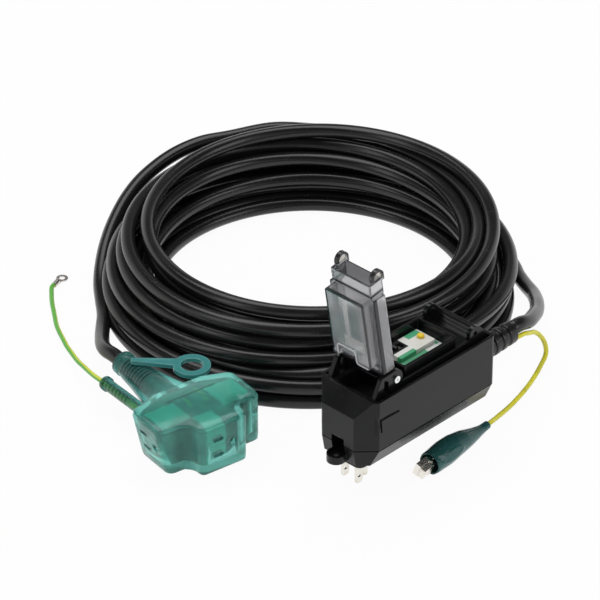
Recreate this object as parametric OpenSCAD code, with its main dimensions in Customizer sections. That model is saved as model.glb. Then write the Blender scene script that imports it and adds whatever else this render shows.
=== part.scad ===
// Outdoor power cord with a plug-in earth leakage breaker, a loose coil of
// round cable, a translucent triple tap and an earth lead with a booted clip.
// Millimetres. +X runs along the breaker housing to its cable end, +Z is up,
// and the origin is on the floor under the middle of the breaker plug.

/* [Housing] */
// Length of the breaker housing
box_len = 126; // [116:1:140]
// Width of the breaker housing
box_w = 53; // [51:0.5:60]
// Height of the upper shell above the parting line
upper_h = 38.8; // [36:0.2:44]
// Height of the lower shell under the parting line
lower_h = 12.4; // [11:0.2:16]
// Wall thickness of both shells
wall = 2.4; // [2:0.1:2.8]
// Leg of the two chamfered front corners
nose_chamfer = 12; // [9:0.5:13]
// Inward draft of the lower shell at its sides
side_draft = 5.4; // [3:0.1:6]
// Inward draft of the lower shell at its front
front_draft = 2.4; // [1:0.1:3]
// Depth of the sloping facet at the front of the top
facet_run = 9.5; // [6:0.5:12]
// Height of the sloping facet at the front of the top
facet_drop = 12.7; // [8:0.1:16]
// Radius of the screw lug at the front
lug_r = 6.5; // [5.8:0.1:8]
// Thickness of the screw lug
lug_h = 5.8; // [5:0.1:7]
// Reach of the screw lug past the front face
lug_out = 8; // [6:0.5:10]
// Radius of the hole through the screw lug
lug_hole_r = 2.2; // [1.8:0.1:2.5]
// Height of the screwdriver notch above the lug
notch_h = 12; // [8:0.5:14]

/* [Plug] */
// Length of the earth pin below the plug face
earth_len = 21.2; // [20:0.1:23]
// Length of the two blades below the plug face
blade_len = 18; // [16:0.1:19]
// Width of a blade
blade_w = 6.3; // [6:0.1:6.6]
// Thickness of a blade
blade_t = 1.5; // [1.3:0.1:1.7]
// Distance between the middles of the two blades
blade_pitch = 12.7; // [12:0.1:13]
// Distance from the blades to the earth pin
earth_offset = 11.9; // [11.5:0.1:13]
// Radius of the earth pin
earth_r = 2.4; // [2.2:0.1:2.6]
// Distance of the blades behind the front face
blade_setback = 14; // [13.5:0.5:17]
// Depth of the raised plug face under the housing
plinth_h = 5; // [3:0.5:7]

/* [Deck] */
// Distance of the lid pin behind the front face
pin_setback = 33; // [32:0.5:36]
// Height of the lid pin above the top edge of the housing
pin_rise = 7.1; // [6.8:0.1:9]
// Radius of the lid pin
pin_r = 1.5; // [1.2:0.1:1.8]
// Outer radius of the ears
ear_r = 6.5; // [5.5:0.1:7]
// Thickness of the ears
ear_t = 3; // [2.5:0.1:3.4]
// Distance from the lid pin back to the rear ears
rear_ear_reach = 78; // [77:0.5:80]
// Length of the framed breaker compartment
bay_len = 51.5; // [48:0.5:53]
// Half width of the compartment frame
bay_half = 17.7; // [16.5:0.1:17.9]
// Height of the compartment frame above the top edge
bay_rise = 8.6; // [7:0.1:10]
// Distance from the lid pin back to the compartment
bay_gap = 12; // [11:0.5:13]
// Depth of the deck below the top edge
deck_drop = 3.6; // [3:0.1:5]
// Thickness of the deck and its walls
deck_t = 1.8; // [1.4:0.1:2.2]

/* [Lid] */
// Angle between the open lid and its closed place
lid_open = 99.5; // [90:0.5:105]
// Half width of the lid over its side walls
lid_half = 20; // [19.7:0.1:20.4]
// Height of the lid plate above the pin axis
lid_rise = 8.8; // [8.4:0.1:10]
// Height of the window box above the lid plate
window_rise = 8.2; // [6:0.1:10]
// Half width of the window box
window_half = 17; // [15:0.1:17.4]
// Wall thickness of the lid
lid_t = 1.8; // [1.4:0.1:1.8]
// Distance from the pin to the end of the window box
window_end = 72; // [70:0.5:74]
// Distance from the pin to the end of the lid
lid_end = 83; // [82:0.5:85]
// Distance from the pin to the tips of the pinch tabs
tab_end = 90.5; // [89:0.5:93]
// Thickness of a pinch tab
tab_t = 3.3; // [2.6:0.1:3.6]

/* [Breaker] */
// Height of the breaker's top below the compartment rim
module_drop = 9.5; // [8:0.5:11]
// Radius of the test button
button_r = 2.6; // [2:0.1:3]
// Travel of the test button
button_travel = 1.5; // [1:0.1:2]
// Width of the breaker lever
lever_w = 5.6; // [4:0.1:6]
// Length of the breaker lever above its pivot
lever_h = 8; // [6:0.1:9]
// Angle of the lever from upright, at rest
lever_lean = 20; // [15:1:25]

/* [Cable] */
// Outside diameter of the main cable
cord_d = 10.5; // [9.5:0.1:11]
// Outside diameter of the two earth leads
lead_d = 3.4; // [3:0.1:3.6]
// Length of the strain relief
relief_len = 46; // [40:1:50]
// Radius of the strain relief at the housing
relief_r = 9.8; // [9.4:0.1:10.4]
// Radius of the strain relief at its tip
relief_tip_r = 8; // [7.9:0.1:9]
// Number of grooves round the strain relief
relief_grooves = 5; // [3:1:7]
// Number of turns in the coil
coil_turns = 12.25; // [12.25:1:16.25]
// Radius of the outermost turn
coil_outer = 147; // [146:1:154]
// Radius of the innermost turn
coil_inner = 94.5; // [90:0.5:98]
// Height from one layer of turns to the next
coil_layer = 14.5; // [13:0.5:16]

/* [Clip] */
// Length of the booted clip with its jaws
clip_len = 78; // [74:1:84]
// Reach of the jaws past the boot
jaw_reach = 11; // [8:0.5:13]
// Width of the jaws
jaw_w = 9.3; // [8:0.1:10]
// Radius of the boot at its thickest
boot_r = 9.2; // [8.8:0.1:10]
// Wall thickness of the boot
boot_t = 1.2; // [0.8:0.1:1.4]
// Thickness of the jaws' sheet
jaw_t = 0.8; // [0.6:0.1:1]

/* [Tap] */
// Height of the tap's body
tap_h = 39; // [37:0.5:42]
// Width across the two side sockets
tap_w = 80; // [76:1:84]
// Reach of the front socket before the crossing
tap_front = 31; // [29:0.5:35]
// Half width of each socket lobe
lobe_half = 19.5; // [18.5:0.1:21]
// Distance from the crossing back to the cable flange
neck_len = 91.5; // [88:0.5:98]
// Radius of the tap's cable flange
flange_r = 8.8; // [8.2:0.1:10]
// Depth of the socket openings
slot_depth = 17; // [12:0.5:18]
// Radius of the earth opening of a socket
earth_hole_r = 2.75; // [2.6:0.05:3]
// Outside radius of the hanging ring
ring_outer = 13; // [12:0.1:14]
// Inside radius of the hanging ring
ring_inner = 7.75; // [7:0.1:8.5]
// Thickness of the hanging strap
strap_t = 3; // [2:0.1:4]
// Radius of the hole in the ring terminal
terminal_hole_r = 2.15; // [2.1:0.05:2.7]

/* [Hidden] */

// Clearance of seated pieces, and of a running fit
fit = 0.1;
run_fit = 0.05;
// Length that a cut runs past a face
over = 1;

// Levels and stations of the housing
front_x = lug_out - (lug_out + box_len + relief_len) / 2;
rear_x = front_x + box_len;
relief_end = rear_x + relief_len;
plinth_z = earth_len;
bottom_z = plinth_z + plinth_h;
part_z = bottom_z + lower_h;
top_z = part_z + upper_h;
floor_z = bottom_z + wall;
half_w = box_w / 2;
inner_half = half_w - wall;
rear_radius = 3;
facet_angle = atan2(facet_run, facet_drop);

// Deck, ears and compartment
deck_z = top_z - deck_drop;
deck_low = deck_z - deck_t;
ledge_h = 2;
ledge_w = 1.6;
pin_x = front_x + pin_setback;
pin_z = top_z + pin_rise;
rear_ear_x = pin_x + rear_ear_reach;
rear_ear_z = pin_z - 1.2;
rear_ear_r = 5.5;
ear_in = lid_half - 1.6;
ear_out = ear_in + ear_t;
bay_x0 = pin_x + bay_gap;
bay_x1 = bay_x0 + bay_len;
bay_z = top_z + bay_rise;
bay_in = bay_half - deck_t;
pocket_floor = deck_low - 11;
pocket_x0 = front_x + facet_run + 3.5;
pocket_x1 = bay_x0 - 3;
rim_z = top_z + 2.6;
boss_out = 0.7;

// Plug, lug and notch
blade_x = front_x + blade_setback;
earth_x = blade_x + earth_offset;
flange_t = 1.2;
// Step of the earth pin where it enters the plinth
pin_shoulder = 0.4;
lug_x = front_x - lug_out + lug_r;
notch_x = lug_x + 7;
notch_r = lug_r - 0.85;
notch_top = bottom_z + lug_h + notch_h;

// Screws that hold the shells
screw_xs = [front_x + 42, rear_x - 18];
screw_y = half_w - side_draft - 3.7;
screw_r = 1.4;
screw_head_r = 2.8;
screw_top = part_z + 8;

// Board, transformer and breaker
board_z = floor_z + 4.4;
board_top = board_z + 1.6;
board_x0 = bay_x0 + 1;
board_x1 = rear_x - 17;
board_half = 13.8;
transformer_len = 6;
module_top = bay_z - module_drop;
module_x0 = bay_x0 + deck_t + fit * 2;
module_x1 = bay_x1 - deck_t - fit * 2;
module_half = bay_in - fit * 2;
nose_rise = 3.7;
nose_z = module_top + nose_rise;
lever_x = module_x0 + 0.38 * (module_x1 - module_x0);
lever_y = 8.5;
lever_pin_z = module_top - 1.5;
lever_pin_r = 1.6;
button_x = module_x0 + 0.82 * (module_x1 - module_x0);
button_y = 5.4;

// Cable at the housing: the main cable and the earth lead share the relief
cord_r = cord_d / 2;
lead_r = lead_d / 2;
relief_z = part_z + 7.4;
cable_y = 1;
cable_z = relief_z + 1;
lead_y = -4;
lead_z = relief_z - 4;
tail_x0 = rear_x - 17;
core_r = 1.3;
clamp_x0 = rear_x - 14;
clamp_len = 7;
clamp_half = 9.5;

// Routes of the free stretches, by hand, in the order in which they lie
sink = cord_d / 10;
rest_z = cord_r - sink;
coil_centre = [80, 182];
coil_start = -35;
breaker_route = [[113, 4, 42], [127, 11.5, 36], [141, 20.5, 29.5], [154, 31, 24],
    [166, 42.5, 18], [177, 55, 12.5], [184, 68, 8]];
tap_route = [[133, 324, 48], [112, 333, 47], [90, 337, 43.5], [68, 337, 37], [46, 333, 30],
    [25, 326, 22], [6, 316, 15.5], [-11, 304, 10], [-25, 290.5, 6.5], [-37, 276, 5.3],
    [-48.5, 262, 5.3], [-61, 250, 6.5], [-72.5, 238.5, 9], [-83.5, 226, 13], [-90.5, 214.5, 17]];
clip_route = [[100, -4, 41.5], [107, -3, 38.5], [114, -1.5, 35], [120, -1, 29.5],
    [124.5, -1, 23], [126.8, -1.5, 16], [125.5, -2.5, 10.5], [120, -3.7, 6.3], [109, -7.7, 4],
    [96, -11.8, 2.5], [82, -15.5, 1.8], [69, -18.5, 1.8], [56, -21, 2.5], [49, -22.8, 3.6]];
earth_route = [[-115, 199, 13.5], [-112, 208, 11.5], [-108, 219, 9.5], [-104, 230, 7.5],
    [-99, 241, 6], [-94, 252, 5], [-88, 263, 4], [-83, 272, 3.2], [-78, 280, 2.5],
    [-72, 288, 2], [-66, 296, 1.8], [-60, 304, 1.8], [-54, 311, 1.8]];

// Clip: local X runs from its neck to the tip of the jaws
clip_at = [40, -24.9];
clip_turn = 186;
// Roll of the jaws about the clip's axis: the clip lies on its side
clip_roll = 70;
neck_r = 2.9;
neck_z = 5;
boot_z = boot_r;
boot_end = clip_len - jaw_reach - 1;
// The jaws turn just inside the mouth of the boot
jaw_pin_x = boot_end - 2;
jaw_pin_r = 1.2;
jaw_half_h = 4.2;

// Tap: local X runs to its front socket, local Y to its right socket
tap_at = [-111, 102.7];
tap_turn = -100;
neck_turn = 1;
neck_shift = -2;
tap_mid = tap_h / 2;
tap_skin = 4.2;
side_reach = tap_w / 2;
neck_inner = 6.6;
lead_tube_at = [-83, -21];
lead_tube_turn = 3;
lead_tube_z = 15;
ring_at = [-82, 138];
ring_z = 34;
terminal_at = [-31.3, 324.4];
terminal_turn = 20;
terminal_t = 0.8;
terminal_outer = 4.3;
barrel_back = 13;

// ---------------------------------------------------------------- functions

function unit(v) = v / norm(v);

// Corner [x, y, r] rounded into steps points
function corner(a, b, c, steps) =
    let (p = [b[0], b[1]],
        u = unit([a[0], a[1]] - p),
        v = unit([c[0], c[1]] - p),
        half = acos(u * v) / 2,
        back = b[2] / tan(half),
        mid = p + unit(u + v) * b[2] / sin(half),
        s = p + u * back - mid,
        e = p + v * back - mid,
        a0 = atan2(s[1], s[0]),
        turn = (atan2(e[1], e[0]) - a0 + 540) % 360 - 180)
    [for (i = [0:steps]) mid + b[2] * [cos(a0 + turn * i / steps), sin(a0 + turn * i / steps)]];

// Closed outline with each corner rounded by its own radius
function rounded(pts, steps = 5) =
    let (n = len(pts))
    [for (i = [0:n - 1])
        each (pts[i][2] == 0
            ? [[pts[i][0], pts[i][1]]]
            : corner(pts[(i + n - 1) % n], pts[i], pts[(i + 1) % n], steps))];

// Outline of the housing, drawn in by d, with front and side drafts
function shell_outline(d = 0, side = 0, front = 0) =
    let (x0 = front_x + d + front,
        y = half_w - d - side,
        leg = nose_chamfer - d * (2 - sqrt(2)) - side)
    rounded([[x0, leg - y, 0], [x0 + leg, -y, 0], [rear_x - d, -y, max(rear_radius - d, 0.4)],
        [rear_x - d, y, max(rear_radius - d, 0.4)], [x0 + leg, y, 0], [x0, y - leg, 0]], 3);

// Ring of a swept tube, resting flat where it meets the floor
function ring(p, t, r, sides) =
    let (s = unit(cross(t, [0, 0, 1])), u = cross(s, t))
    [for (k = [0:sides - 1])
        let (q = p + r * (cos(360 * k / sides) * s + sin(360 * k / sides) * u))
        [q[0], q[1], max(q[2], 0)]];

function tangent(path, i) =
    unit(path[min(i + 1, len(path) - 1)] - path[max(i - 1, 0)]);

// Triangles of a stack of closed rings, each of n points
function skin(rings, n) =
    [for (i = [0:rings - 2]) for (j = [0:n - 1]) each
        let (a = i * n + j, b = i * n + (j + 1) % n)
        [[a, b, b + n], [a, b + n, a + n]]];

function fan(start, n, flip) =
    [for (k = [1:n - 2]) flip ? [start, start + k + 1, start + k] : [start, start + k, start + k + 1]];

// Centre line of the coil: it winds in and out through four layers, and climbs
// in the half turn round each reversal
function coil_point(t) =
    let (leg = coil_turns / 4,
        k = min(floor(t / leg), 3),
        f = t / leg - k,
        r = (k % 2 == 0) ? coil_outer + (coil_inner - coil_outer) * f
            : coil_inner + (coil_outer - coil_inner) * f,
        climb = min(max((t - leg) * 2 + 0.5, 0), 1) + min(max((t - 2 * leg) * 2 + 0.5, 0), 1)
            + min(max((t - 3 * leg) * 2 + 0.5, 0), 1),
        a = coil_start + 360 * t)
    [coil_centre[0] + r * cos(a), coil_centre[1] + r * sin(a), rest_z + coil_layer * climb];

coil_steps = 24;
coil_count = round(coil_turns * coil_steps);
coil_line = [for (i = [0:coil_count]) coil_point(i / coil_steps)];
coil_in_way = [-sin(coil_start), cos(coil_start), 0];
coil_in = coil_line[0] - cord_d * coil_in_way;
coil_out_turn = coil_start + 360 * coil_count / coil_steps;
coil_out_way = [-sin(coil_out_turn), cos(coil_out_turn), 0];
coil_out = coil_line[coil_count] + cord_d * coil_out_way;
coil_path = concat([coil_in], coil_line, [coil_out]);
coil_r = cord_r * 1.05;
coil_gap = min([for (i = [0:coil_count]) for (j = [i + 12:1:coil_count])
    norm(coil_line[i] - coil_line[j])]) - 2 * coil_r;
echo(least_gap_of_the_coil = coil_gap);

// Points of the clip and the tap in the model's own frame
function turned(p, at, turn) =
    [at[0] + p[0] * cos(turn) - p[1] * sin(turn), at[1] + p[0] * sin(turn) + p[1] * cos(turn), p[2]];
function in_tap(p) = turned(p, tap_at, tap_turn);
function in_neck(p) =
    in_tap([p[0] * cos(neck_turn) + p[1] * sin(neck_turn),
        neck_shift + p[1] * cos(neck_turn) - p[0] * sin(neck_turn), p[2]]);
function in_clip(p) = turned(p, clip_at, clip_turn);
function in_terminal(p) = turned(p, terminal_at, terminal_turn);

// Radii and level of the boot along its length
boot_stations = [0, 7, 16, 28, 40, 50, 58, boot_end];
function boot_size(s) =
    lookup(s, [[0, neck_r], [7, neck_r + 0.3], [16, 4.9], [28, 7.2], [40, boot_r - 0.6],
        [50, boot_r], [58, boot_r - 0.5], [boot_end, boot_r - 1]]);
function boot_squash(s) = lookup(s, [[0, 1], [16, 1], [40, 0.96], [boot_end, 0.98]]);
function boot_level(s) =
    lookup(s, [[0, neck_z], [7, neck_z], [16, 6], [28, 8], [40, boot_z], [boot_end, boot_z]]);

// ------------------------------------------------------------------ helpers

// Triangulated solid from a list of rings with equal counts
module loft(rings) {
    n = len(rings[0]);
    m = len(rings);
    polyhedron([for (q = rings) each q],
        concat(skin(m, n), fan(0, n, true), fan((m - 1) * n, n, false)), convexity = 8);
}

// Solid from level rings that may have hollow corners, lowest first
module stack(rings) {
    n = len(rings[0]);
    m = len(rings);
    polyhedron([for (q = rings) for (i = [n - 1:-1:0]) q[i]],
        concat(skin(m, n), [[for (i = [n - 1:-1:0]) i]], [[for (i = [0:n - 1]) (m - 1) * n + i]]),
        convexity = 8);
}

module tube(path, r, sides) {
    loft([for (i = [0:len(path) - 1]) ring(path[i], tangent(path, i), r, sides)]);
}

// Prism between two levels with an outline for each
module draft_prism(low, z0, high, z1) {
    n = len(low);
    polyhedron(concat([for (p = low) [p[0], p[1], z0]], [for (p = high) [p[0], p[1], z1]]),
        concat([[for (i = [0:n - 1]) i]], [[for (i = [n - 1:-1:0]) n + i]],
            [for (i = [0:n - 1]) [i, n + i, n + (i + 1) % n, (i + 1) % n]]), convexity = 4);
}

module prism(pts, z0, z1) {
    translate([0, 0, z0])
        linear_extrude(z1 - z0)
            polygon(pts);
}

// Plate in the XZ plane between two Y levels
module side_plate(pts, y0, y1) {
    translate([0, y1, 0])
        rotate([90, 0, 0])
            linear_extrude(y1 - y0)
                polygon(pts);
}

module x_rod(x0, x1, y, z, r) {
    translate([x0, y, z])
        rotate([0, 90, 0])
            cylinder(h = x1 - x0, r = r, $fn = 48);
}

module y_rod(y0, y1, x, z, r) {
    translate([x, y1, z])
        rotate([90, 0, 0])
            cylinder(h = y1 - y0, r = r, $fn = 48);
}

// Rounded block in plan
module slab(x0, x1, half, z0, z1, r) {
    prism(rounded([[x0, -half, r], [x1, -half, r], [x1, half, r], [x0, half, r]]), z0, z1);
}

// Everything in front of the sloping front facet, moved back by d
module before_facet(d) {
    translate([front_x, 0, top_z - facet_drop])
        rotate([0, facet_angle, 0])
            translate([d - 40, -half_w * 2, -60])
                cube([40, half_w * 4, 120]);
}

module lug_slot(r, z0, z1) {
    prism(rounded([[lug_x - r, -r, r - 0.01], [notch_x + r, -r, r - 0.01],
        [notch_x + r, r, r - 0.01], [lug_x - r, r, r - 0.01]], 8), z0, z1);
}

module at_clip() {
    translate([clip_at[0], clip_at[1], 0])
        rotate([0, 0, clip_turn])
            children();
}

module at_tap() {
    translate([tap_at[0], tap_at[1], 0])
        rotate([0, 0, tap_turn])
            children();
}

module at_neck() {
    at_tap()
        translate([0, neck_shift, 0])
            rotate([0, 0, -neck_turn])
                children();
}

module at_jaws() {
    at_clip()
        translate([0, 0, boot_z])
            rotate([clip_roll, 0, 0])
                children();
}

// ------------------------------------------------------------------ housing

// L-shaped grip mark in a side wall
module grip_mark() {
    side_plate([[front_x + 31.5, part_z + 23.2], [front_x + 31, part_z + 24.6],
        [front_x + 10.8, part_z + 26.6], [front_x + 14, part_z + 13.8],
        [front_x + 15, part_z + 14.4], [front_x + 14.2, part_z + 23.6]],
        -half_w - over, 1 - half_w);
}

module screw_bosses() {
    for (x = screw_xs)
        for (side = [-1, 1]) {
            translate([x, side * screw_y, part_z])
                cylinder(h = screw_top - part_z, r = 3.2, $fn = 32);
            translate([x - 1.2, min(side * screw_y, side * (inner_half + 1)), part_z])
                cube([2.4, inner_half + 1 - screw_y, screw_top - part_z]);
        }
}

module upper_shell() {
    color([0.07, 0.07, 0.08])
        difference() {
            union() {
                difference() {
                    prism(shell_outline(), part_z, top_z);
                    difference() {
                        prism(shell_outline(wall), part_z - over, top_z + over);
                        before_facet(wall);
                    }
                    before_facet(0);
                }
                difference() {
                    prism(shell_outline(wall - 0.01), deck_low - ledge_h, deck_low);
                    prism(shell_outline(wall + ledge_w), deck_low - ledge_h - over, deck_low + over);
                    before_facet(wall);
                }
                intersection() {
                    prism(shell_outline(0.5), part_z, notch_top + wall);
                    translate([notch_x, 0, part_z])
                        cylinder(h = notch_top + wall - part_z, r = notch_r + wall, $fn = 48);
                }
                screw_bosses();
            }
            lug_slot(notch_r, part_z - over, notch_top);
            // Shadow line over the parting line
            difference() {
                prism(shell_outline(-over), part_z - over, part_z + 0.7);
                prism(shell_outline(0.6), part_z - 2 * over, part_z + 2 * over);
            }
            grip_mark();
            mirror([0, 1, 0])
                grip_mark();
            x_rod(rear_x - wall - over, rear_x + over, 0, relief_z, relief_r + fit);
            for (x = screw_xs)
                for (side = [-1, 1])
                    translate([x, side * screw_y, part_z - over])
                        cylinder(h = screw_top - part_z, r = screw_r + run_fit, $fn = 32);
        }
}

module lug() {
    prism(rounded([[lug_x - lug_r, -lug_r, lug_r - 0.01], [notch_x + lug_r, -lug_r, 0],
        [notch_x + lug_r, lug_r, 0], [lug_x - lug_r, lug_r, lug_r - 0.01]], 8),
        bottom_z, bottom_z + lug_h);
}

module lower_shell() {
    low = shell_outline(0, side_draft, front_draft);
    color([0.08, 0.08, 0.09])
        difference() {
            union() {
                difference() {
                    draft_prism(low, bottom_z, shell_outline(), part_z);
                    draft_prism(shell_outline(wall, side_draft * 0.8, front_draft * 0.8), floor_z,
                        shell_outline(wall), part_z + 0.01);
                }
                intersection() {
                    draft_prism(low, bottom_z, shell_outline(), part_z);
                    translate([notch_x, 0, bottom_z])
                        cylinder(h = part_z - bottom_z, r = notch_r + wall, $fn = 48);
                }
                lug();
                slab(blade_x - 8, earth_x + 8, blade_pitch / 2 + 8.5, plinth_z, bottom_z + wall / 2, 5);
                for (x = [board_x0 + 4, board_x1 - 4])
                    for (side = [-1, 1])
                        translate([x, side * 8, floor_z - 0.01])
                            cylinder(h = board_z - floor_z + 0.01, r = 2, $fn = 32);
                // Cradle under the cable
                translate([clamp_x0, -clamp_half, floor_z - 0.01])
                    cube([clamp_len, 2 * clamp_half, cable_z - floor_z - 0.2]);
                for (x = screw_xs)
                    for (side = [-1, 1])
                        translate([x, side * screw_y, floor_z - 0.01])
                            cylinder(h = part_z - floor_z + 0.01, r = 3.2, $fn = 32);
            }
            lug_slot(notch_r, bottom_z + lug_h, part_z + over);
            lug_slot(notch_r - 0.6, bottom_z + lug_h - 1.6, part_z + over);
            translate([lug_x, 0, bottom_z - over])
                cylinder(h = lug_h + 2 * over, r = lug_hole_r, $fn = 48);
            for (side = [-1, 1]) {
                translate([blade_x - blade_w / 2 - run_fit,
                    side * blade_pitch / 2 - blade_t / 2 - run_fit, plinth_z - over])
                    cube([blade_w + 2 * run_fit, blade_t + 2 * run_fit, plinth_h + wall + 2 * over]);
                // Room over the floor for the foot of the blade
                translate([blade_x - blade_w / 2 - 1.3, side * blade_pitch / 2 - blade_t / 2 - 1.3, floor_z])
                    cube([blade_w + 2.6, blade_t + 2.6, lower_h]);
            }
            translate([earth_x, 0, plinth_z - over]) {
                cylinder(h = plinth_h + wall + 2 * over, r = earth_r - pin_shoulder + run_fit, $fn = 48);
                cylinder(h = over + 2 * pin_shoulder, r = earth_r + run_fit, $fn = 48);
            }
            x_rod(rear_x - wall - over, rear_x + over, 0, relief_z, relief_r + fit);
            x_rod(clamp_x0 - over, clamp_x0 + clamp_len + over, cable_y, cable_z, cord_r + fit);
            x_rod(clamp_x0 - over, clamp_x0 + clamp_len + over, lead_y, lead_z, lead_r + fit);
            for (x = screw_xs)
                for (side = [-1, 1])
                    translate([x, side * screw_y, bottom_z - over]) {
                        cylinder(h = lower_h + 2 * over, r = screw_r + run_fit, $fn = 32);
                        cylinder(h = 3 + over, r = screw_head_r + fit, $fn = 32);
                    }
            for (side = [-1, 1])
                translate([clamp_x0 + clamp_len / 2, side * (clamp_half - 2), floor_z + 3])
                    cylinder(h = 20, r = 1 + run_fit, $fn = 24);
        }
}

module housing_screws() {
    color([0.75, 0.75, 0.77])
        for (x = screw_xs)
            for (side = [-1, 1])
                translate([x, side * screw_y, bottom_z + 1]) {
                    difference() {
                        cylinder(h = 2, r = screw_head_r, $fn = 32);
                        translate([0, 0, -over])
                            cylinder(h = 2, r = 1.2, $fn = 6);
                    }
                    translate([0, 0, 1.5])
                        cylinder(h = screw_top - bottom_z - 5, r = screw_r, $fn = 32);
                }
}

// --------------------------------------------------------------------- plug

// Flat blade with a round end, a hole and a bus to the breaker
module blade(side) {
    tip_z = plinth_z - blade_len;
    bus_z = floor_z + flange_t;
    translate([0, side * blade_pitch / 2, 0]) {
        difference() {
            union() {
                side_plate(rounded([[blade_x - blade_w / 2, tip_z, 2], [blade_x + blade_w / 2, tip_z, 2],
                    [blade_x + blade_w / 2, bus_z + 4, 0], [blade_x - blade_w / 2, bus_z + 4, 0]]),
                    -blade_t / 2, blade_t / 2);
                translate([blade_x - blade_w / 2 - 1, -blade_t / 2 - 1, floor_z])
                    cube([blade_w + 2, blade_t + 2, flange_t]);
                side_plate([[blade_x + 1, bus_z + 3.9], [board_x0 + 4, board_top + 9],
                    [board_x0 + 5.5, board_top + 9], [board_x0 + 5.5, board_top + 11],
                    [board_x0 + 3, board_top + 11], [blade_x - 2, bus_z + 3.9]],
                    -blade_t / 2, blade_t / 2);
            }
            y_rod(-blade_t, blade_t, blade_x, tip_z + 6, 1.6);
        }
    }
}

module line_blade() {
    color([0.8, 0.76, 0.6])
        blade(-1);
}

module neutral_blade() {
    color([0.8, 0.76, 0.6])
        blade(1);
}

module earth_pin() {
    color([0.8, 0.76, 0.6])
        translate([earth_x, 0, 0]) {
            translate([0, 0, earth_r])
                cylinder(h = plinth_z - earth_r, r = earth_r, $fn = 48);
            translate([0, 0, plinth_z - 0.01])
                cylinder(h = floor_z + 3 - plinth_z, r = earth_r - pin_shoulder, $fn = 48);
            translate([0, 0, earth_r])
                sphere(r = earth_r, $fn = 48);
            translate([0, 0, floor_z])
                cylinder(h = flange_t, r = earth_r + 1.4, $fn = 48);
        }
}

// ---------------------------------------------------------------- deck frame

// Front ear with its gusset, in the XZ plane
module front_ear(y0) {
    foot_x = front_x + facet_run + 1.6;
    difference() {
        union() {
            side_plate(rounded([[foot_x, deck_z - 0.01, 0], [pin_x + ear_r, deck_z - 0.01, 0],
                [pin_x + ear_r, pin_z, 0], [pin_x, pin_z + ear_r, 0],
                [pin_x - 13.5, pin_z + ear_r - 0.6, 3]]), y0, y0 + ear_t);
            y_rod(y0, y0 + ear_t, pin_x, pin_z, ear_r);
        }
        y_rod(y0 - over, y0 + ear_t + over, pin_x, pin_z, pin_r + run_fit);
        side_plate([[pin_x - 12, deck_z + 2], [pin_x - 7.2, deck_z + 2],
            [pin_x - 7.2, pin_z + 1], [pin_x - 11, pin_z + 3.6]], y0 - over, y0 + ear_t + over);
    }
}

// Rear ear that the lid snaps between, sloping down to the rear wall
module rear_ear(side) {
    y0 = side > 0 ? ear_in : -ear_out;
    difference() {
        union() {
            side_plate([[rear_ear_x - rear_ear_r, deck_z - 0.01],
                [rear_x - wall - 2 * fit, deck_z - 0.01], [rear_x - wall - 2 * fit, top_z],
                [rear_ear_x + rear_ear_r * 0.72, rear_ear_z + rear_ear_r * 0.69],
                [rear_ear_x - rear_ear_r, rear_ear_z]],
                y0, y0 + ear_t);
            y_rod(y0, y0 + ear_t, rear_ear_x, rear_ear_z, rear_ear_r);
            y_rod(side > 0 ? y0 - boss_out : y0 + 1, side > 0 ? y0 + 1 : y0 + ear_t + boss_out,
                rear_ear_x, rear_ear_z, 2.6);
        }
        y_rod(side > 0 ? y0 + 1 : y0 - over, side > 0 ? y0 + ear_t + over : y0 + ear_t - 1,
            rear_ear_x, rear_ear_z, 1.7);
    }
}

module deck_frame() {
    inner = shell_outline(wall + fit);
    color([0.06, 0.06, 0.07])
        difference() {
            union() {
                difference() {
                    prism(inner, deck_low, deck_z);
                    before_facet(wall + fit);
                }
                // Compartment frame
                slab(bay_x0, bay_x1, bay_half, deck_low - 8, bay_z, 2);
                // Pocket in front of the compartment
                slab(pocket_x0 - deck_t, pocket_x1 + deck_t, ear_in, pocket_floor - deck_t,
                    deck_z - 0.01, 1.5);
                // Low rim from ear to ear
                for (side = [-1, 1])
                    translate([pin_x, side > 0 ? ear_out - deck_t : -ear_out, deck_z - 0.01])
                        cube([rear_ear_reach, deck_t, rim_z - deck_z]);
                front_ear(ear_in);
                front_ear(-ear_out);
                rear_ear(1);
                rear_ear(-1);
                // Ribbed slope between the rear ears
                side_plate([[rear_ear_x + 3, deck_z - 0.01], [rear_x - wall - 2 * fit, deck_z - 0.01],
                    [rear_x - wall - 2 * fit, top_z], [rear_ear_x + 9, top_z]],
                    -ear_in - 0.01, ear_in + 0.01);
            }
            slab(bay_x0 + deck_t, bay_x1 - deck_t, bay_in, deck_low - 8 - over, bay_z + over, 1);
            slab(pocket_x0, pocket_x1, ear_in - deck_t, pocket_floor, deck_z + 0.02, 1);
            for (k = [0, 1])
                y_rod(-ear_in + 2, ear_in - 2, rear_ear_x + 4.6 + 2.4 * k, deck_z + 1.3 + 1.45 * k, 0.5);
        }
}

module hinge_pin() {
    color([0.8, 0.8, 0.82]) {
        y_rod(-ear_out - 0.02, ear_out, pin_x, pin_z, pin_r);
        difference() {
            y_rod(-ear_out - 1.5, -ear_out, pin_x, pin_z, pin_r + 1.1);
            y_rod(-ear_out - 1.6, -ear_out - 1.1, pin_x, pin_z, 0.8);
        }
    }
}

// ---------------------------------------------------------------------- lid

// In the lid's own frame X runs from the pin to the tabs and Z out of its face
module pinch_tab(side) {
    y0 = side > 0 ? window_half + 0.3 - tab_t : -window_half - 0.3;
    tip_r = 5.2;
    difference() {
        union() {
            y_rod(y0, y0 + tab_t, tab_end - tip_r, 0, tip_r);
            translate([lid_end - 2, y0, -tip_r])
                cube([tab_end - tip_r - lid_end + 2, tab_t, 2 * tip_r]);
        }
        y_rod(side > 0 ? y0 + tab_t - 0.6 : y0 - over, side > 0 ? y0 + tab_t + over : y0 + 0.6,
            tab_end - tip_r, 0, tip_r - 1.6);
    }
}

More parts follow.
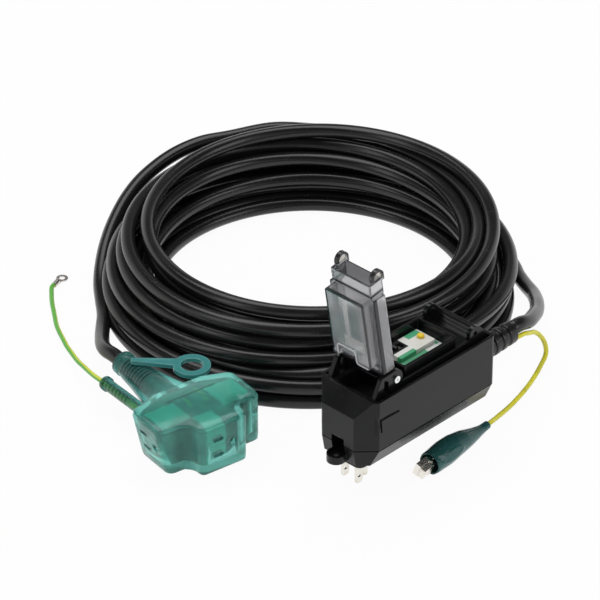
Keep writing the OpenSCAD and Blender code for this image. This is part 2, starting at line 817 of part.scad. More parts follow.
module lid_shape() {
    window_x0 = 16.5;
    wall_x0 = 8.5;
    low = -1.4;
    end_low = -3;
    top = lid_rise + window_rise;
    notch_deep = 4;
    difference() {
        union() {
            // Plate with its side walls
            translate([wall_x0, -lid_half, low])
                cube([window_end - 1 - wall_x0, 2 * lid_half, lid_rise - low]);
            slab(window_x0, window_end, window_half, lid_rise - lid_t, top, 2.5);
            // End section between the rear ears
            translate([window_end - 2, -window_half - 0.3, end_low])
                cube([lid_end - window_end + 2, 2 * window_half + 0.6, lid_rise - end_low]);
            pinch_tab(1);
            pinch_tab(-1);
        }
        // Hollow under the plate, under the end section and in the window box
        translate([wall_x0 - over, lid_t - lid_half, low - over])
            cube([window_end - 1 - wall_x0 - lid_t + over, 2 * (lid_half - lid_t),
                lid_rise - lid_t - low + over]);
        translate([window_end - 4, lid_t - window_half - 0.3, end_low - over])
            cube([lid_end - window_end + 4 - lid_t, 2 * (window_half + 0.3 - lid_t),
                lid_rise - lid_t - end_low + over]);
        difference() {
            slab(window_x0 + lid_t, window_end - lid_t, window_half - lid_t, low - over, top - lid_t, 1.5);
            translate([window_x0, -4 - lid_t, top - notch_deep - lid_t])
                cube([9.6 + lid_t, 16 + 2 * lid_t, notch_deep + lid_t]);
        }
        // Finger notch in the lower edge of the window
        translate([window_x0 - over, -4, top - notch_deep])
            cube([9.6 + over, 16, notch_deep + over]);
    }
    // Neck and its two knuckles
    difference() {
        union() {
            for (side = [-1, 1])
                side_plate([[-3, 2.8], [3, -2.8], [wall_x0 + 0.01, lid_rise - lid_t - 1.5],
                    [wall_x0 + 0.01, lid_rise], [2, lid_rise], [-2.4, 6]],
                    side > 0 ? ear_in - 6 : 0.3 - ear_in, side > 0 ? ear_in - 0.3 : 6 - ear_in);
            side_plate([[2, lid_rise], [3, lid_rise - lid_t], [wall_x0 + 0.01, lid_rise - lid_t],
                [wall_x0 + 0.01, lid_rise]], 0.3 - ear_in, ear_in - 0.3);
            for (side = [-1, 1])
                y_rod(side > 0 ? ear_in - 6 : 0.3 - ear_in, side > 0 ? ear_in - 0.3 : 6 - ear_in,
                    0, 0, 4.2);
        }
        y_rod(-ear_in, ear_in, 0, 0, pin_r + run_fit);
    }
}

module lid() {
    color([0.45, 0.45, 0.48, 0.5])
        translate([pin_x, 0, pin_z])
            rotate([0, -lid_open, 0])
                lid_shape();
}

// ------------------------------------------------------------------ breaker

module breaker_module() {
    color([0.93, 0.93, 0.9])
        difference() {
            union() {
                slab(module_x0, module_x1, module_half, board_top, module_top, 1);
                slab(lever_x - 8, button_x + 5, 3.5, module_top - 0.01, nose_z, 1);
                translate([0, lever_y, 0])
                    slab(lever_x - 8, button_x + 5, lever_w / 2 + 2.6, module_top - 0.01, nose_z, 1);
            }
            translate([lever_x - 6, lever_y - lever_w / 2 - fit, lever_pin_z - 3])
                cube([12, lever_w + 2 * fit, 20]);
            y_rod(lever_y - lever_w / 2 - 1.6, lever_y + lever_w / 2 + 1.6, lever_x, lever_pin_z,
                lever_pin_r + run_fit);
            translate([button_x, button_y, module_top - 8])
                cylinder(h = 20, r = button_r + run_fit, $fn = 32);
            for (side = [-1, 1])
                translate([module_x0 - over, side * blade_pitch / 2 - blade_t / 2 - fit, board_top + 8])
                    cube([board_x0 + 6 - module_x0 + over, blade_t + 2 * fit, 4]);
        }
}

module label_plate() {
    color([0.9, 0.95, 0.9])
        difference() {
            slab(module_x0 + 0.6, module_x1 - 0.6, module_half - 0.6, module_top, module_top + 0.6, 1);
            slab(lever_x - 8.1, button_x + 5.1, 3.6, module_top - over, module_top + over, 1);
            translate([0, lever_y, 0])
                slab(lever_x - 8.1, button_x + 5.1, lever_w / 2 + 2.7, module_top - over,
                    module_top + over, 1);
        }
}

module breaker_lever() {
    color([0.08, 0.08, 0.08])
        translate([lever_x, lever_y, lever_pin_z])
            rotate([0, -lever_lean, 0]) {
                y_rod(-lever_w / 2, lever_w / 2, 0, 0, 2.6);
                y_rod(-lever_w / 2 - 1.5, lever_w / 2 + 1.5, 0, 0, lever_pin_r);
                side_plate([[-2, 0], [2, 0], [1.3, lever_h - 0.8], [0.7, lever_h],
                    [-0.7, lever_h], [-1.3, lever_h - 0.8]], -lever_w / 2, lever_w / 2);
            }
}

module test_button() {
    color([0.95, 0.8, 0.1])
        translate([button_x, button_y, 0]) {
            translate([0, 0, module_top - 8 + button_travel + 0.3])
                cylinder(h = nose_rise + 8 - 0.3, r = button_r, $fn = 32);
            translate([0, 0, nose_z + button_travel - 0.3])
                cylinder(h = 0.8, r1 = button_r, r2 = button_r - 0.6, $fn = 32);
        }
}

module circuit_board() {
    color([0.1, 0.45, 0.25]) {
        translate([board_x0, -board_half, board_z])
            difference() {
                cube([board_x1 - board_x0, 2 * board_half, board_top - board_z]);
                for (side = [0, 1])
                    translate([4, board_half + (2 * side - 1) * 8, -over])
                        cylinder(h = 4, r = 0.9, $fn = 16);
            }
        // Components beside the transformer
        translate([module_x1 + 0.5, board_half - 7, board_top - 0.01])
            cube([4.5, 6, 5]);
        translate([module_x1 + 2, -board_half + 1, board_top - 0.01])
            cube([3, 4, 3]);
    }
}

// Toroid round the cores, standing on the board
module current_transformer() {
    r = cable_z - board_top;
    color([0.15, 0.2, 0.45])
        translate([(module_x1 + clamp_x0 - transformer_len) / 2, cable_y, cable_z])
            rotate([0, 90, 0])
                rotate_extrude($fn = 64)
                    polygon([[r - 5.5, 0], [r, 0], [r, transformer_len], [r - 5.5, transformer_len]]);
}

module core(y, z) {
    x_rod(module_x1, tail_x0, cable_y + y, cable_z + z, core_r);
}

module line_core() {
    color([0.1, 0.1, 0.1])
        core(-2, 1.2);
}

module neutral_core() {
    color([0.9, 0.9, 0.9])
        core(2, 1.2);
}

module earth_core() {
    color([0.1, 0.55, 0.25])
        core(0, -2.2);
}

// Upper saddle that holds the cable on its cradle
module cable_clamp() {
    color([0.12, 0.12, 0.13])
        difference() {
            translate([clamp_x0, -clamp_half, cable_z - 0.2])
                cube([clamp_len, 2 * clamp_half, cord_r + 2.2]);
            x_rod(clamp_x0 - over, clamp_x0 + clamp_len + over, cable_y, cable_z, cord_r + fit);
            for (side = [-1, 1])
                translate([clamp_x0 + clamp_len / 2, side * (clamp_half - 2), cable_z - over])
                    cylinder(h = cord_r + 6, r = 1 + run_fit, $fn = 24);
        }
}

module clamp_screws() {
    top = cable_z + cord_r + 2;
    color([0.75, 0.75, 0.77])
        for (side = [-1, 1])
            translate([clamp_x0 + clamp_len / 2, side * (clamp_half - 2), 0]) {
                translate([0, 0, top])
                    cylinder(h = 1.2, r = 1.9, $fn = 24);
                translate([0, 0, floor_z + 6])
                    cylinder(h = top - floor_z - 6 + 0.01, r = 1, $fn = 24);
            }
}

// ------------------------------------------------------- cable at the housing

function relief_at(x) = relief_r + (relief_tip_r - relief_r) * x / relief_len;

module strain_relief() {
    pitch = (relief_len - 8) / relief_grooves;
    grooves = [for (k = [0:relief_grooves - 1]) each
        let (x = 5 + k * pitch, r = relief_at(x))
        [[r, x], [r - 1.4, x + 0.5], [r - 1.4, x + pitch * 0.45], [relief_at(x + pitch * 0.5), x + pitch * 0.5]]];
    color([0.09, 0.09, 0.1])
        difference() {
            translate([rear_x, 0, relief_z])
                rotate([0, 90, 0])
                    rotate_extrude($fn = 64)
                        polygon(concat([[0, -wall - 2], [relief_r + 2.2, -wall - 2],
                            [relief_r + 2.2, -wall], [relief_r, -wall], [relief_r, 0]], grooves,
                            [[relief_tip_r, relief_len - 1], [relief_tip_r - 0.5, relief_len],
                            [0, relief_len]]));
            x_rod(rear_x - wall - 2 - over, relief_end + over, cable_y, cable_z, cord_r + run_fit);
            x_rod(rear_x - wall - 2 - over, relief_end + over, lead_y, lead_z, lead_r + run_fit);
        }
}

module cable_tail() {
    color([0.06, 0.06, 0.07])
        x_rod(tail_x0, relief_end, cable_y, cable_z, cord_r);
}

module lead_tail() {
    color([0.85, 0.85, 0.1])
        x_rod(tail_x0, relief_end, lead_y, lead_z, lead_r);
}

module cord_to_breaker() {
    first = [relief_end, cable_y, cable_z];
    path = concat([first, first + [cord_d, 0, 0]],
        breaker_route, [coil_in - cord_d * coil_in_way, coil_in]);
    color([0.06, 0.06, 0.07])
        tube(path, cord_r, 12);
}

module cord_coil() {
    color([0.06, 0.06, 0.07])
        tube(coil_path, coil_r, 6);
}

module cord_to_tap() {
    last = in_neck([-neck_len, 0, tap_mid]);
    path = concat([coil_out, coil_out + cord_d * coil_out_way], tap_route, [in_neck([-neck_len - cord_d, 0, tap_mid]), last]);
    color([0.06, 0.06, 0.07])
        tube(path, cord_r, 12);
}

module clip_lead() {
    first = [relief_end, lead_y, lead_z];
    path = concat([first, first + [lead_d, 0, 0]],
        clip_route,
        [in_clip([-lead_d, 0, neck_z]), in_clip([0, 0, neck_z])]);
    color([0.88, 0.88, 0.1])
        tube(path, lead_r, 8);
}

// --------------------------------------------------------------------- clip

function boot_ring(s, inset) =
    [for (k = [0:23])
        [s, -(boot_size(s) * boot_squash(s) - inset) * cos(15 * k),
            boot_level(s) + (boot_size(s) - inset) * sin(15 * k)]];

module clip_boot() {
    inner = [for (s = boot_stations) if (s >= 7) s];
    color([0.05, 0.45, 0.42])
        at_clip()
            difference() {
                loft([for (s = boot_stations) boot_ring(s, 0)]);
                loft(concat([for (s = inner) boot_ring(s, boot_t)],
                    [boot_ring(boot_end, boot_t) + [for (k = [0:23]) [over, 0, 0]]]));
                translate([-over, 0, neck_z])
                    rotate([0, 90, 0])
                        cylinder(h = 10, r = lead_r + run_fit, $fn = 32);
            }
}

// Sheet jaw: a channel with a boxed nose and a lever behind the pivot
module jaw(side) {
    back = 15;
    tip = clip_len;
    rise = 1;
    half = jaw_w / 2 - (side > 0 ? 0 : jaw_t + fit);
    outline = [[jaw_pin_x - back, side * (jaw_half_h + rise)], [jaw_pin_x, side * jaw_half_h],
        [tip, side * jaw_half_h], [tip, side * 0.05], [jaw_pin_x + 5, side * 0.05],
        [jaw_pin_x + 3, -side * 1.8], [jaw_pin_x - 3, -side * 1.8], [jaw_pin_x - 4, side * 0.6],
        [jaw_pin_x - back, side * (jaw_half_h - rise)]];
    difference() {
        side_plate(outline, -half, half);
        side_plate([[jaw_pin_x - back - over, -side * 8], [tip - 3, -side * 8],
            [tip - 3, side * (jaw_half_h - jaw_t)], [jaw_pin_x, side * (jaw_half_h - jaw_t)],
            [jaw_pin_x - back - over, side * (jaw_half_h + rise - jaw_t)]],
            jaw_t - half, half - jaw_t);
        y_rod(-jaw_w, jaw_w, jaw_pin_x, 0, jaw_pin_r + run_fit);
    }
}

module clip_lower_jaw() {
    color([0.78, 0.77, 0.72])
        at_jaws()
            jaw(-1);
}

module clip_upper_jaw() {
    color([0.78, 0.77, 0.72])
        at_jaws()
            jaw(1);
}

module clip_pivot() {
    color([0.7, 0.7, 0.68])
        at_jaws()
            y_rod(-jaw_w / 2 - 0.5, jaw_w / 2 + 0.5, jaw_pin_x, 0, jaw_pin_r);
}

// ---------------------------------------------------------------------- tap

// Plan of the tap: three socket lobes with hollow corners between them
function tap_plan(d) =
    let (f = tap_front - d, s = side_reach - d, h = lobe_half - d, b = 17 - d)
    rounded([[f, -h, 4], [f, h, 4], [b + 5, h, 7], [b, h + 7, 3], [b, s, 5], [-b, s, 6],
        [-b - 8, h, 10], [-b - 8, -h, 10], [-b, -s, 6], [b, -s, 5], [b, -h - 7, 3], [b + 5, -h, 7]], 3);

// Socket openings in the face that looks along local +X from the crossing
module socket_cuts(reach, side) {
    slot_y = -side * earth_offset * 0.4;
    hole_y = side * earth_offset * 0.6;
    translate([reach - slot_depth, 0, tap_mid]) {
        for (k = [-1, 1])
            translate([0, slot_y - 3.6, k * blade_pitch / 2 - 1.1])
                cube([slot_depth + over, 7.2, 2.2]);
        translate([0, hole_y, 0])
            rotate([0, 90, 0])
                cylinder(h = slot_depth + over, r = earth_hole_r, $fn = 48);
    }
}

module all_sockets() {
    socket_cuts(tap_front, 1);
    rotate([0, 0, 90])
        socket_cuts(side_reach, -1);
    rotate([0, 0, -90])
        socket_cuts(side_reach, 1);
}

function flat_ring(d, z) = [for (p = tap_plan(d)) [p[0], p[1], z]];

module tap_body() {
    color([0.1, 0.65, 0.55, 0.6])
        difference() {
            union() {
                at_tap()
                    stack([flat_ring(1.2, 0), flat_ring(0.2, 1), flat_ring(0, 4),
                        flat_ring(0, tap_h - 4), flat_ring(1, tap_h - 1.2), flat_ring(3.2, tap_h)]);
                at_neck()
                    translate([0, 0, tap_mid])
                        rotate([0, -90, 0])
                            rotate_extrude($fn = 64)
                                polygon([[0, 12], [18.6, 12], [18.6, 19], [17.4, 27], [15.2, 38],
                                    [12.6, 52], [10.4, 66], [9, 80], [8, neck_len - 5],
                                    [flange_r, neck_len - 4.4], [flange_r, neck_len], [0, neck_len]]);
                // Side tube of the earth lead
                at_tap()
                    translate([lead_tube_at[0], lead_tube_at[1], lead_tube_z])
                        rotate([0, 90, lead_tube_turn]) {
                            cylinder(h = 60, r = 4.6, $fn = 48);
                            cylinder(h = 3, r = 5.6, $fn = 48);
                        }
            }
            at_tap()
                all_sockets();
            // Room for the inner core, the relief and the cable
            at_tap()
                prism(tap_plan(tap_skin - fit), tap_skin + 2 - fit, tap_h - tap_skin - 2 + fit);
            at_neck()
                x_rod(-neck_len - over, -15, 0, tap_mid, neck_inner + fit);
            at_tap()
                translate([lead_tube_at[0], lead_tube_at[1], lead_tube_z])
                    rotate([0, 90, lead_tube_turn])
                        translate([0, 0, -over])
                            cylinder(h = 58, r = lead_r + run_fit, $fn = 32);
        }
}

module tap_core() {
    low = tap_skin + 2;
    color([0.35, 0.8, 0.68])
        at_tap()
            difference() {
                prism(tap_plan(tap_skin), low, tap_h - low);
                all_sockets();
                bus_room(1, fit);
                bus_room(-1, fit);
                translate([-17 + tap_skin - 14, -3, tap_mid - 3])
                    cube([24, 6, 6]);
                translate([0, neck_shift, 0])
                    rotate([0, 0, -neck_turn])
                        x_rod(-40, -19, 0, tap_mid, neck_inner + fit);
            }
}

// Level brass strip behind the slots of one pole, from side to side
module bus_room(pole, grow) {
    z = tap_mid + pole * blade_pitch / 2;
    depth = slot_depth - 2;
    translate([-7 - grow, -side_reach + depth - grow, z - 0.6 - grow])
        cube([14 + 2 * grow, 2 * (side_reach - depth + grow), 1.2 + 2 * grow]);
}

module tap_line_bus() {
    color([0.85, 0.7, 0.4])
        at_tap()
            bus_room(1, 0);
}

module tap_neutral_bus() {
    color([0.85, 0.7, 0.4])
        at_tap()
            bus_room(-1, 0);
}

module tap_earth_bus() {
    color([0.85, 0.7, 0.4])
        at_tap()
            translate([-17 + tap_skin - 14 + fit, -2.9, tap_mid - 2.9])
                cube([23, 5.8, 5.8]);
}

module tap_relief() {
    ribs = 7;
    pitch = 5;
    first = neck_len - 4 - ribs * pitch;
    profile = [for (k = [0:ribs - 1]) each
        let (x = first + k * pitch)
        [[neck_inner, x], [neck_inner, x + 3], [neck_inner - 1, x + 3.4], [neck_inner - 1, x + 4.6]]];
    color([0.1, 0.35, 0.33])
        difference() {
            at_neck()
                translate([0, 0, tap_mid])
                    rotate([0, -90, 0])
                        rotate_extrude($fn = 48)
                            polygon(concat([[0, first - 3], [neck_inner, first - 3]], profile,
                                [[neck_inner, first + ribs * pitch], [neck_inner, neck_len], [0, neck_len]]));
            at_neck()
                x_rod(-neck_len - over, 0, 0, tap_mid, cord_r + run_fit);
        }
}

module tap_cable_tail() {
    color([0.06, 0.06, 0.07])
        at_neck()
            x_rod(-neck_len, tap_skin - 32, 0, tap_mid, cord_r);
}

// Flat strap from the flange to the hanging ring
module tap_strap() {
    root = in_neck([17.5 - neck_len, -2, tap_mid + 10]);
    centre = [ring_at[0], ring_at[1], ring_z];
    tip = centre - unit(centre - root) * (ring_outer - 2);
    color([0.12, 0.68, 0.6, 0.8])
        difference() {
            union() {
                translate([ring_at[0], ring_at[1], ring_z])
                    cylinder(h = strap_t, r = ring_outer, $fn = 64);
                hull() {
                    translate(root)
                        cylinder(h = strap_t, r = 2.2, $fn = 24);
                    translate([tip[0], tip[1], ring_z])
                        cylinder(h = strap_t, r = 4.4, $fn = 24);
                }
            }
            translate([ring_at[0], ring_at[1], ring_z - over])
                cylinder(h = strap_t + 2 * over, r = ring_inner, $fn = 64);
        }
}

module tap_lead_tail() {
    color([0.45, 0.75, 0.1])
        at_tap()
            translate([lead_tube_at[0], lead_tube_at[1], lead_tube_z])
                rotate([0, 90, lead_tube_turn])
                    cylinder(h = 56, r = lead_r, $fn = 32);
}

module tap_lead() {
    first = in_tap([lead_tube_at[0], lead_tube_at[1], lead_tube_z]);
    back = in_tap([lead_tube_at[0] - lead_d * cos(lead_tube_turn),
        lead_tube_at[1] - lead_d * sin(lead_tube_turn), lead_tube_z]);
    path = concat([first, back], earth_route,
        [in_terminal([-barrel_back - lead_d, 0, 2.1]), in_terminal([-barrel_back, 0, 2.1])]);
    color([0.45, 0.75, 0.1])
        tube(path, lead_r, 8);
}

// Crimped ring terminal, flat on the floor
module ring_terminal() {
    color([0.8, 0.79, 0.74])
        translate([terminal_at[0], terminal_at[1], 0])
            rotate([0, 0, terminal_turn])
                difference() {
                    union() {
                        cylinder(h = terminal_t, r = terminal_outer, $fn = 48);
                        translate([-8, -1.6, 0])
                            cube([5, 3.2, terminal_t]);
                        x_rod(-barrel_back, -7, 0, 2.1, 2.1);
                    }
                    translate([0, 0, -over])
                        cylinder(h = 4, r = terminal_hole_r, $fn = 48);
                    x_rod(-barrel_back + 1, -6, 0, 2.1, 1.3);
                }
}

upper_shell();
lower_shell();
deck_frame();
hinge_pin();
lid();
breaker_module();
label_plate();
breaker_lever();
test_button();
line_blade();
neutral_blade();
earth_pin();
circuit_board();
current_transformer();
line_core();
neutral_core();
earth_core();
cable_clamp();
clamp_screws();
housing_screws();
strain_relief();
cable_tail();
lead_tail();
cord_to_breaker();
cord_coil();
cord_to_tap();
clip_lead();
clip_boot();
clip_lower_jaw();
clip_upper_jaw();
clip_pivot();
tap_body();
tap_core();
tap_line_bus();
tap_neutral_bus();
tap_earth_bus();
tap_relief();
tap_cable_tail();
tap_strap();
tap_lead_tail();
tap_lead();
ring_terminal();
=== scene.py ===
import math

import bmesh
import bpy
import numpy as np
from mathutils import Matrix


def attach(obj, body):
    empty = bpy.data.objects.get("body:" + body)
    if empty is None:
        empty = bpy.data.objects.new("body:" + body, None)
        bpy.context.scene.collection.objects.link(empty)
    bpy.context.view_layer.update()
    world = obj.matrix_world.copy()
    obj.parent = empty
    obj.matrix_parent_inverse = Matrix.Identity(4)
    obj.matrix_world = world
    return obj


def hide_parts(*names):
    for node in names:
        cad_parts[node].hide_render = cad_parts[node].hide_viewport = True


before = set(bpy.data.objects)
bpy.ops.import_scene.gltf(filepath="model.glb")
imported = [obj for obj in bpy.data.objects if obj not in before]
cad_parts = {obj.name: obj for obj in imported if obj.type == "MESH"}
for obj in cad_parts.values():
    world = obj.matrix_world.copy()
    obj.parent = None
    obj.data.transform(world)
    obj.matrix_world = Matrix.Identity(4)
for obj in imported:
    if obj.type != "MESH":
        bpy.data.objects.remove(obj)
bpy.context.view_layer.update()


# -------------------- the table it stands on
# A plain white table top with a soft studio light: one big panel overhead, one
# weaker panel from each side, and a long camera looking down across the coil.

def seen_directly(tree, share):
    """The share for rays from the camera, off gloss and through glass, and nothing for the
    rest: the largest of the three ray marks, times the share."""
    rays = tree.nodes.new("ShaderNodeLightPath")
    marked = rays.outputs["Is Camera Ray"]
    for mark in ("Is Glossy Ray", "Is Transmission Ray"):
        larger = tree.nodes.new("ShaderNodeMath")
        larger.operation = "MAXIMUM"
        tree.links.new(marked, larger.inputs[0])
        tree.links.new(rays.outputs[mark], larger.inputs[1])
        marked = larger.outputs[0]
    shared = tree.nodes.new("ShaderNodeMath")
    shared.operation = "MULTIPLY"
    tree.links.new(marked, shared.inputs[0])
    shared.inputs[1].default_value = share
    return shared.outputs[0]


def shown_bright(name, colour, share):
    """A stage finish: its own colour for the light it throws back, and plain white, by the
    share, where it is looked at, mirrored or seen through."""
    finish = bpy.data.materials.new(name)
    finish.use_nodes = True
    tree = finish.node_tree
    tree.nodes.clear()
    out = tree.nodes.new("ShaderNodeOutputMaterial")
    mix = tree.nodes.new("ShaderNodeMixShader")
    soft = tree.nodes.new("ShaderNodeBsdfDiffuse")
    soft.inputs["Color"].default_value = (*colour, 1)
    glow = tree.nodes.new("ShaderNodeEmission")
    tree.links.new(seen_directly(tree, share), mix.inputs[0])
    tree.links.new(soft.outputs[0], mix.inputs[1])
    tree.links.new(glow.outputs[0], mix.inputs[2])
    tree.links.new(mix.outputs[0], out.inputs["Surface"])
    return finish


reach, level = 6, -0.0005
top = bpy.data.meshes.new("table_top")
corners = [(-reach, -reach, level), (reach, -reach, level), (reach, reach, level), (-reach, reach, level)]
top.from_pydata(corners, [], [(0, 1, 2, 3)])
top.materials.append(shown_bright("white_table", (0.8, 0.8, 0.8), 0.95))
table = bpy.data.objects.new("table_top", top)
bpy.context.scene.collection.objects.link(table)


def lamp(name, place, aim, size, power):
    """A rectangular light at a place, facing its aim: it tilts up from straight down by the
    arctangent of level distance over drop, and turns to the aim's heading."""
    light = bpy.data.lights.new(name, "AREA")
    light.shape = "RECTANGLE"
    light.size, light.size_y = size
    light.energy = power
    holder = bpy.data.objects.new(name, light)
    holder.location = place
    east, north, rise = (aim[k] - place[k] for k in range(3))
    holder.rotation_euler = (math.atan2(math.hypot(east, north), -rise), 0,
                             math.atan2(north, east) - math.pi / 2)
    bpy.context.scene.collection.objects.link(holder)


lamp("overhead_panel", (0.35, 0.6, 1.7), (0.05, 0.15, 0), (1.6, 1.2), 18)
lamp("left_panel", (-1.5, 0.5, 1.0), (0.05, 0.15, 0), (0.5, 1.2), 4)
lamp("right_panel", (0.7, -1.4, 0.9), (0.05, 0.1, 0), (1.0, 0.8), 6)

studio = bpy.data.worlds.new("studio")
studio.use_nodes = True
sky = studio.node_tree
daylight = sky.nodes["Background"]
daylight.inputs["Color"].default_value = (1, 1, 1, 1)
daylight.inputs["Strength"].default_value = 0.45
backdrop = sky.nodes.new("ShaderNodeBackground")
either = sky.nodes.new("ShaderNodeMixShader")
# What gloss shows is a room with white walls and a dark ceiling
heading = sky.nodes.new("ShaderNodeTexCoord")
height = sky.nodes.new("ShaderNodeSeparateXYZ")
ceiling = sky.nodes.new("ShaderNodeMapRange")
ceiling.interpolation_type = "SMOOTHSTEP"
for socket, value in (("From Min", 0.12), ("From Max", 0.55), ("To Min", 1.0), ("To Max", 0.07)):
    ceiling.inputs[socket].default_value = value
sky.links.new(heading.outputs["Generated"], height.inputs[0])
sky.links.new(height.outputs[2], ceiling.inputs["Value"])
sky.links.new(ceiling.outputs[0], backdrop.inputs["Strength"])
sky.links.new(seen_directly(sky, 1.0), either.inputs[0])
sky.links.new(daylight.outputs[0], either.inputs[1])
sky.links.new(backdrop.outputs[0], either.inputs[2])
sky.links.new(either.outputs[0], sky.nodes["World Output"].inputs["Surface"])
bpy.context.scene.world = studio
bpy.context.scene.view_settings.view_transform = "Standard"

lens = bpy.data.cameras.new("long_lens")
lens.lens, lens.sensor_width, lens.clip_end = 240, 36, 30
looks_down, looks_right = 33, 45.8
camera = bpy.data.objects.new("long_lens", lens)
camera.location = (-1.6587, -1.4984, 1.5646)
camera.rotation_euler = (math.radians(90 - looks_down), 0, math.radians(-looks_right))
bpy.context.scene.collection.objects.link(camera)
bpy.context.scene.camera = camera


# -------------------- main cable
# A round three-core cable in black rubber, wound by hand into a loose ring of
# twelve turns that lean against each other, from the breaker to the tap.

class Wire:
    """A value in a finish's node tree: + - and * on it add Math nodes, and maths adds one
    of any other kind."""

    def __init__(self, finish, socket):
        """Keeps the finish and the node's output that gives the value."""
        self.finish, self.socket = finish, socket

    def maths(self, kind, *others):
        """A Math node of this kind on this value and the others."""
        return self.finish.node("Math", {"operation": kind}, dict(enumerate((self, *others))))

    def __add__(self, other):
        """This value plus the other."""
        return self.maths("ADD", other)

    def __sub__(self, other):
        """This value less the other."""
        return self.maths("SUBTRACT", other)

    def __rsub__(self, number):
        """A number less this value."""
        return self.finish.node("Math", {"operation": "SUBTRACT"}, {0: number, 1: self})

    def __mul__(self, other):
        """This value times the other."""
        return self.maths("MULTIPLY", other)

    __radd__, __rmul__ = __add__, __mul__


class Finish:
    """One material: a shader whose inputs take constants and wired values."""

    def __init__(self, name, **constants):
        """A new material of this name, with these constants on its shader."""
        self.material = bpy.data.materials.new(name)
        self.material.use_nodes = True
        self.tree = self.material.node_tree
        self.shader = self.tree.nodes["Principled BSDF"]
        self.feed(**constants)

    def fill(self, socket, value):
        """Wires a value to a socket, or sets a constant on it, a colour with alpha 1."""
        if isinstance(value, Wire):
            self.tree.links.new(value.socket, socket)
        else:
            socket.default_value = (*value, 1) if socket.type == "RGBA" else value

    def feed(self, **values):
        """Fills the shader's inputs of these names."""
        for key, value in values.items():
            self.fill(self.shader.inputs[key.replace("_", " ")], value)

    def node(self, kind, settings=None, sockets=None, out=0):
        """The output, by number or name, of a new shader node with these settings."""
        made = self.tree.nodes.new("ShaderNode" + kind)
        for key, value in (settings or {}).items():
            setattr(made, key, value)
        for key, value in (sockets or {}).items():
            self.fill(made.inputs[key], value)
        return Wire(self, made.outputs[out])

    def place(self, out="Object"):
        """A place in the object's own frame, in metres, or its direction for "Normal"."""
        return self.node("TexCoord", out=out)

    def noise(self, scale, detail=3, rough=0.5, stretch=None):
        """Cloudy noise with about this many lumps a metre, times the stretch along each axis."""
        where = self.place()
        if stretch:
            where = self.node("Mapping", None, {"Vector": where, "Scale": stretch})
        return self.node("TexNoise", None, {"Vector": where, "Scale": scale,
                                            "Detail": detail, "Roughness": rough})

    def part(self, vector, axis):
        """The X, Y or Z of a vector, for axis 0, 1 or 2."""
        return self.node("SeparateXYZ", None, {"Vector": vector}, out=axis)

    def step(self, value, low, high):
        """0 below low, 1 above high, and 3 k^2 - 2 k^3 between them."""
        return self.node("MapRange", {"interpolation_type": "SMOOTHSTEP"},
                         {"Value": value, "From Min": low, "From Max": high})

    def within(self, value, low, high, soft):
        """1 from low to high and 0 outside: one step up, times 1 less another."""
        return self.step(value, low - soft, low + soft) * (1 - self.step(value, high - soft, high + soft))

    def patch(self, first, first_band, second, second_band, soft):
        """1 inside a rectangle and 0 outside: a band of one value times a band of another."""
        return self.within(first, *first_band, soft) * self.within(second, *second_band, soft)

    def tint(self, factor, first, second):
        """A mix of two colours: the first where the factor is 0, the second where it is 1."""
        return self.node("Mix", {"data_type": "RGBA"}, {0: factor, 6: first, 7: second}, out=2)

    def rounded(self, radius):
        """The surface's direction, with edges seen as rounded by this radius."""
        return self.node("Bevel", {"samples": 6}, {"Radius": radius})

    def bump(self, height, depth, edge=0.0):
        """A relief of this depth in metres, over edges rounded by the radius given."""
        sockets = {"Height": height, "Distance": depth}
        if edge:
            sockets["Normal"] = self.rounded(edge)
        self.feed(Normal=self.node("Bump", None, sockets))
        return self


def placed(name, mesh, finish, body="housing"):
    """A smooth object of this mesh in one finish, riding on a body."""
    mesh.polygons.foreach_set("use_smooth", [True] * len(mesh.polygons))
    mesh.materials.append(finish.material)
    made = bpy.data.objects.new(name, mesh)
    bpy.context.scene.collection.objects.link(made)
    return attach(made, body)


def cubic(a, b, c, d, f):
    """The Catmull-Rom curve from b to c at the share f, with a before them and d after: half
    of 2 b + (c - a) f + (2 a - 5 b + 4 c - d) f^2 + (3 b - a - 3 c + d) f^3."""
    bend, twist = 2 * a - 5 * b + 4 * c - d, 3 * b - a - 3 * c + d
    return 0.5 * (2 * b + (c - a) * f + bend * f ** 2 + twist * f ** 3)


def run_along(line):
    """The length from a line's start to each point: a running sum of the steps between them."""
    return np.concatenate([[0], np.cumsum(np.linalg.norm(np.diff(line, axis=0), axis=1))])


def along(path, step):
    """Points at even steps on a smooth line through the given ones: a cubic between each
    pair, drawn with 24 points, then measured off by length."""
    path = np.asarray(path, float)
    ends = np.vstack([2 * path[0] - path[1], path, 2 * path[-1] - path[-2]])
    f = np.linspace(0, 1, 24, endpoint=False)[None, :, None]
    line = cubic(*(ends[k:len(ends) - 3 + k][:, None, :] for k in range(4)), f)
    line = np.vstack([line.reshape(-1, 3), path[-1]])
    run = run_along(line)
    at = np.linspace(0, run[-1], int(run[-1] / step) + 1)
    return np.stack([np.interp(at, run, line[:, k]) for k in range(3)], 1)


